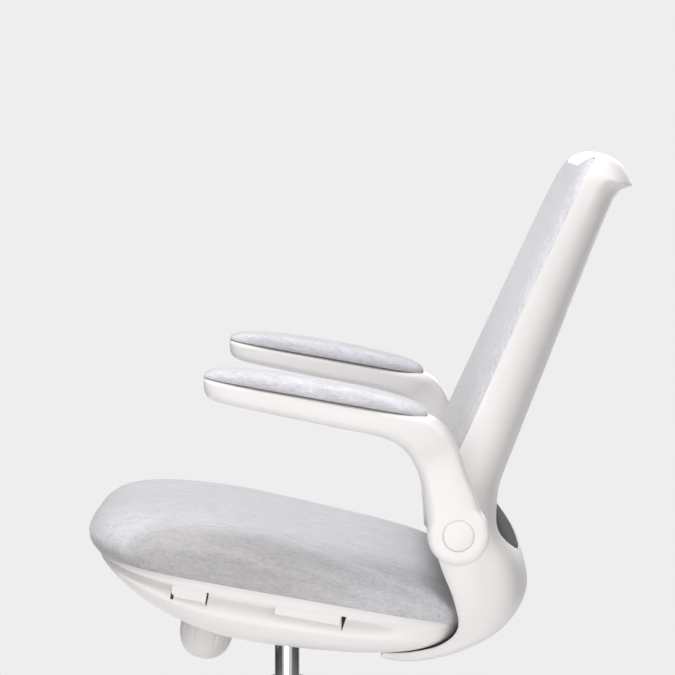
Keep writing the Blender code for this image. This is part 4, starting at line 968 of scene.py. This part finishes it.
# Lumbar panel: a dark, finely pebbled plastic panel lapped inside the shell's window and bulging flush
# with its skin. It snaps in from inside, so only its face shows.
def pebbled():
    """Dark plastic with a fine pebble grain."""
    made, shader, place = paint("dark_pebbled_plastic", "dark_plastic", 0.6)
    shader.inputs["Specular IOR Level"].default_value = 0.2
    cloud = place.noise(30, 3).clear(0.3, 0.7)
    cloud.tint((0.032, 0.031, 0.035, 1), (0.044, 0.043, 0.048, 1)).to(shader, "Base Color")
    pebble = place.node("TexVoronoi", {"Vector": place, "Scale": 700})
    (0.55 + pebble * 0.2).to(shader, "Roughness")
    pebble.emboss(shader, 0.25, 0.0004)
    return made


SPANS = len(SHELL) - 1


def skin_at(x, z):
    """How far back the shell's outer skin lies at a width and a height, found by halving."""
    low, high = 4 / SPANS * ROOF_FROM, 9 / SPANS * ROOF_FROM
    for _ in range(36):
        middle = (low + high) / 2
        station = shell_station(middle)
        if shell_skin(station, min(1, abs(x) / station[4])).z < z:
            low = middle
        else:
            high = middle
    station = shell_station(low)
    return shell_skin(station, min(1, abs(x) / station[4])).y


# share of the window's size and height over the shell's skin, from the middle out to the lap inside
panel_side = [(0.0, -0.0005), (0.35, -0.0005), (0.70, -0.0005), (0.93, -0.0005), (0.975, -0.0010)]
panel_side += [(0.985, -0.0030), (0.986, -0.0062), (1.000, -0.0068), (1.035, -0.0068)]
PANEL_WALL = 0.0025


def panel_place(u, v):
    share, lift = eased(panel_side, v)
    x = EYE_HALF * share * cos(2 * pi * u)
    z = EYE_Z + EYE_HIGH * share * sin(2 * pi * u)
    step = 0.002
    steep = (skin_at(x, z + step) - skin_at(x, z - step)) / (2 * step)
    curl = (skin_at(x + step, z) - skin_at(x - step, z)) / (2 * step)
    return Vector((x, skin_at(x, z) + lift * (1 + steep**2 + curl**2) ** 0.5, z))


panel = loft(96, 26, panel_place, True)
bmesh.ops.recalc_face_normals(panel, faces=panel.faces)
if sum(face.normal.y for face in panel.faces) < 0:
    bmesh.ops.reverse_faces(panel, faces=panel.faces)
thicken(piece("lumbar_cover", leaned(panel), pebbled(), "seat", "lumbar_panel"), PANEL_WALL)


# Back pad: thin foam on a black board under the same heather cloth, set between the shell's side walls
# and under its roof, with a shallow crown.
BACK_Y, BACK_Z, BACK_SLOPE = 0.170, 0.640, 0.26
PAD_LOW, PAD_BACK = 0.522, 0.008
PAD_INSET = WALL - 0.0002
PAD_SWELL = 0.0014
THIN_BELOW = 0.610


def wall_half(z):
    """Half width of the shell at its front edge, at a height."""
    low, high = 6 / SPANS, 1.0
    for _ in range(36):
        middle = (low + high) / 2
        if eased(SHELL, middle)[1] < z:
            low = middle
        else:
            high = middle
    return eased(SHELL, low)[4]


# the pad's right outline from the middle of its foot, up along the shell's wall and over its top
corner, foot = wall_half(PAD_LOW) - PAD_INSET, PAD_LOW + PAD_INSET
shoulder, crest = SHELL[-1][1] - 0.012, ROOF[4][1]
right_side = [(0.0, foot), (corner - 0.012, foot), (corner - 0.002, foot + 0.010)]
right_side += [
    (wall_half(z) - PAD_INSET, z) for z in [PAD_LOW + (shoulder - PAD_LOW) * i / 12 for i in range(1, 13)]
]
right_side += [(station[4] - 0.002, station[1] - 0.0015) for station in ROOF[1:4]]
right_side += [(0.136, crest - 0.0012), (0.100, crest - 0.0030), (0.0, crest - 0.0030)]
lengths = [(Vector(a) - Vector(b)).length for a, b in zip(right_side, right_side[1:])]


def pad_edge(u):
    """A point on the pad's outline, going up one side and down the other."""
    side = 1 if u < 0.5 else -1
    run = sum(lengths) * (u * 2 if u < 0.5 else 2 - u * 2)
    for length, a, b in zip(lengths, right_side, right_side[1:]):
        if run <= length or b is right_side[-1]:
            share = min(1, run / length)
            return side * (a[0] + (b[0] - a[0]) * share), a[1] + (b[1] - a[1]) * share
        run -= length


# share of the outline and how far the skin stands proud, from the board round the edge to the middle
pad_side = [(0.0, -PAD_BACK), (0.60, -PAD_BACK), (0.985, -PAD_BACK), (1.0, -0.003), (0.997, 0.0015)]
pad_side += [(0.982, 0.0046), (0.90, 0.0082), (0.72, 0.0108), (0.42, 0.0122), (0.0, 0.0128)]
pad_middle = (PAD_LOW + SHELL[-1][1]) / 2


def pad_place(u, v):
    scale, proud = eased(pad_side, v)
    x, z = pad_edge(u)
    height = pad_middle + (z - pad_middle) * scale
    low = max(0, (THIN_BELOW - height) / (THIN_BELOW - PAD_LOW))
    thick = proud * (1 - 0.75 * low**2) if proud > 0 else proud
    return Vector((x * scale, BACK_Y + BACK_SLOPE * (height - BACK_Z) - thick, height))


def pad_hold(point):
    spot = UPRIGHT @ point
    return step_up(BACK_Y + BACK_SLOPE * (spot.z - BACK_Z) - spot.y, 0.002, 0.009)


# this copy of the cloth is brightened by a tenth: painted light on the back's fabric
back_cloth = heather("back_heather", radians(-5), (1.0, 1.0, 0.24), 1.10)
padding = leaned(loft(220, 54, pad_place, True))
bmesh.ops.recalc_face_normals(padding, faces=padding.faces)
padding = stuffed(padding, "back_foam", 0.0048, PAD_SWELL, pad_hold)
# the back pad's painted light: painted shade low on the pad, lighter towards its top
mark_painted_light(padding, lambda normal, point: step_up(point.z, 0.50, 0.78))
pad = finer(piece("back_foam", padding, back_cloth, "seat", "back_pad"))
repaint(black_nylon, "back_board")


# Arms: white moulded beams that sweep down to a round pivot boss on the shell's side, with a snap-in
# cap over the axle and a thin foam pad under heather cloth. Each one flips up on its axle.
SEAM, DEPTH = 0.6575, 0.029
ARM_FRONT, ARM_REAR = -0.1320, 0.122
ARM_LONG, ARM_MIDDLE = (ARM_REAR - ARM_FRONT) / 2, (ARM_REAR + ARM_FRONT) / 2
ARM_X = 0.270
HUB_Y, HUB_Z, HUB = 0.1780, 0.534, 0.0345
INNER, OUTER = 0.236, 0.304
LEG_INNER, LEG_OUTER = 0.2405, 0.297
UNDER = SEAM - DEPTH
TOP = SEAM + 0.0010
ROUNDNESS = 0.42
END = 0.004
# y and z of the beam's upper or rear edge, y and z of its lower or front edge, inner and outer side
arm_path = [
    (ARM_FRONT + 0.0006, TOP, ARM_FRONT + 0.0030, TOP - 0.012, INNER + 0.020, OUTER - 0.020),
    (ARM_FRONT + 0.0025, TOP, ARM_FRONT + 0.0075, UNDER + 0.0100, INNER + 0.009, OUTER - 0.009),
    (ARM_FRONT + 0.015, TOP, ARM_FRONT + 0.018, UNDER + 0.0058, INNER + 0.002, OUTER - 0.002),
    (ARM_FRONT + 0.045, TOP, ARM_FRONT + 0.047, UNDER + 0.0034, INNER, OUTER),
    (0.020, TOP, 0.018, UNDER, INNER, OUTER),
    (0.092, TOP, 0.068, UNDER - 0.001, INNER + 0.001, OUTER),
]
# down the leg: each edge's run past the pad and its share of the fall, rear and front, then the sides
arm_sweep = (
    (0.0020, 0.004, -0.0300, 0.065, LEG_INNER - 0.0025, OUTER - 0.001),
    (0.0220, 0.083, -0.0140, 0.174, LEG_INNER, OUTER - 0.003),
    (0.0390, 0.246, -0.0010, 0.349, LEG_INNER, LEG_OUTER),
    (0.0545, 0.468, 0.0080, 0.554, LEG_INNER, LEG_OUTER),
    (0.0690, 0.650, 0.0140, 0.738, LEG_INNER, LEG_OUTER),
    (0.0800, 0.825, 0.0190, 0.923, LEG_INNER, LEG_OUTER),
)
for rear, rear_fall, front, front_fall, near, far in arm_sweep:
    top_z = TOP + (HUB_Z - TOP) * rear_fall
    low_z = UNDER + (HUB_Z - UNDER) * front_fall
    arm_path.append((ARM_REAR + rear, top_z, ARM_REAR + front, low_z, near, far))
arm_path.append((HUB_Y + HUB * 0.97, HUB_Z, HUB_Y - HUB * 0.97, HUB_Z, LEG_INNER, LEG_OUTER))


def arm_place(u, v):
    """Rings along the arm; the first and last shrink to a point so that the ends are closed."""
    close = min(1, v / END, (1 - v) / END)
    top_y, top_z, low_y, low_z, inner, outer = eased(arm_path, (v - END) / (1 - 2 * END))
    c, s = cos(-2 * pi * u), sin(-2 * pi * u)
    across = (outer - inner) / 2 * bent(c, ROUNDNESS) * close
    along = 0.5 + 0.5 * bent(s, ROUNDNESS) * close
    y, z = low_y + (top_y - low_y) * along, low_z + (top_z - low_z) * along
    return Vector(((outer + inner) / 2 + across, y, z))


def mirrored(bm, side):
    """The left arm's shape, or its mirror for the right."""
    if side < 0:
        bmesh.ops.scale(bm, verts=bm.verts, vec=(-1, 1, 1))
        bmesh.ops.reverse_faces(bm, faces=bm.faces)
    return bm


# turnings about the axle, by radius and place across: the boss, its cap, the cap's seat and the axle's bore
ACROSS = Matrix.Translation((0, HUB_Y, HUB_Z)) @ Matrix.Rotation(pi / 2, 4, "Y")
CAP, CAP_SEAT, BORE = 0.0176, 0.01775, 0.0095
boss = [
    (0, LEG_OUTER),
    (HUB - 0.006, LEG_OUTER),
    (HUB - 0.0018, LEG_OUTER - 0.0018),
    (HUB, LEG_OUTER - 0.006),
    (HUB, LEG_INNER + 0.002),
    (HUB - 0.002, LEG_INNER),
    (0, LEG_INNER),
]
cap = [
    (0, LEG_OUTER + 0.0007),
    (0.0142, LEG_OUTER + 0.0004),
    (0.0169, LEG_OUTER - 0.0001),
    (CAP, LEG_OUTER - 0.0010),
    (CAP, LEG_OUTER - 0.0028),
    (0, LEG_OUTER - 0.0028),
]
cap_seat = [
    (0, LEG_OUTER + 0.006),
    (CAP_SEAT, LEG_OUTER + 0.006),
    (CAP_SEAT, LEG_OUTER - 0.0030),
    (0, LEG_OUTER - 0.0030),
]
bore = [(0, 0.30), (BORE, 0.30), (BORE, 0.23), (0, 0.23)]
# a dark grey for the strip under each arm pad: painted shade, the shadow line in the gap
dark_seam = nylon("dark_seam", "dark_plastic", (0.16, 0.155, 0.155), (0.20, 0.195, 0.195), 0.7)
# this copy of the cloth is brightened by 7 per cent: painted light on the arm pads
pad_cloth = heather("arm_heather", SEAT_LEAN, (1.0, 0.24, 1.0), 1.07)
ARM_PAD_HALF, ARM_PAD_HIGH, ARM_PAD_SWELL = 0.034, 0.0182, 0.0015
BOW_FRONT, BOW_REAR = 0.42, 0.30
# share of the arm pad's outline and of its height, from underneath round the edge to the middle of the top
cushion_side = [(0.0, -0.25), (0.45, -0.25), (0.955, -0.25), (0.985, -0.05), (1.0, 0.16), (0.994, 0.38)]
cushion_side += [(0.965, 0.64), (0.88, 0.84), (0.68, 0.95), (0.32, 1.0), (0.0, 1.0)]
SEAM_HALF, SEAM_IN, SEAM_HIGH = 0.0322, 0.0018, 0.0010


def arm_pad_place(u, v):
    scale, up = eased(cushion_side, v)
    x, y = oval(2 * pi * u, ARM_PAD_HALF * scale, -ARM_LONG * scale, ARM_LONG * scale, 0, 5.2, 4.2)
    bow = 1 - (BOW_FRONT if y < 0 else BOW_REAR) * (y / ARM_LONG) ** 2 if up > 0 else 1
    return Vector((ARM_X + x, ARM_MIDDLE + y, SEAM + ARM_PAD_HIGH * up * bow))


def arm_pad_hold(point):
    return step_up((UPRIGHT @ point).z, SEAM + 0.003, SEAM + 0.010)


def gap_shade_strip():
    """A thin dark strip between a beam and its pad: painted shade for the shadow line in the gap under the
    pad.
    """
    strip = bmesh.new()
    bmesh.ops.create_circle(strip, cap_ends=True, segments=120, radius=1)
    for vert in strip.verts:
        angle = -Vector((1, 0)).angle_signed(vert.co.xy)
        x, y = oval(angle, SEAM_HALF, -ARM_LONG + SEAM_IN, ARM_LONG - SEAM_IN, 0, 4.2, 4.2)
        vert.co = (ARM_X + x, ARM_MIDDLE + y, SEAM - 0.0003)
    return raised(strip, (0, 0, SEAM_HIGH))


for side, name in ((1, "left_arm"), (-1, "right_arm")):
    beam = loft(72, 160, arm_place, True)
    bmesh.ops.recalc_face_normals(beam, faces=beam.faces)
    hub_mesh = bpy.data.meshes.new("hub")
    hub_part = lathe(boss, 72, ACROSS)
    hub_part.to_mesh(hub_mesh)
    hub_part.free()
    beam.from_mesh(hub_mesh)
    beam = moulded(beam, name + "_moulding", 0.0016, 6)
    arm = piece(name + "_moulding", mirrored(beam, side), white, name, name + "_beam")
    carve(arm, mirrored(lathe(cap_seat, 72, ACROSS), side))
    carve(arm, mirrored(lathe(bore, 40, ACROSS), side))
    lean_back(arm, 40)
    disc = leaned(mirrored(lathe(cap, 72, ACROSS), side))
    smooth_by_angle(piece(name + "_disc", disc, white, name, name + "_cap"), 50)
    # the dark strip of painted shade in the gap under the pad
    strip = leaned(mirrored(gap_shade_strip(), side))
    smooth_by_angle(piece(name + "_seam", strip, dark_seam, name), 40)
    filling = leaned(mirrored(loft(120, 44, arm_pad_place, True), side))
    bmesh.ops.recalc_face_normals(filling, faces=filling.faces)
    filling = stuffed(filling, name + "_foam", 0.0026, ARM_PAD_SWELL, arm_pad_hold)
    # the arm pad's painted light: lighter on top, with painted shade down its sides
    mark_painted_light(trimmed(filling, SEAM + 0.0002), lambda normal, point: step_up(normal.z, -0.3, 0.35))
    rest = finer(piece(name + "_foam", filling, pad_cloth, name, name + "_pad"))


low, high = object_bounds()
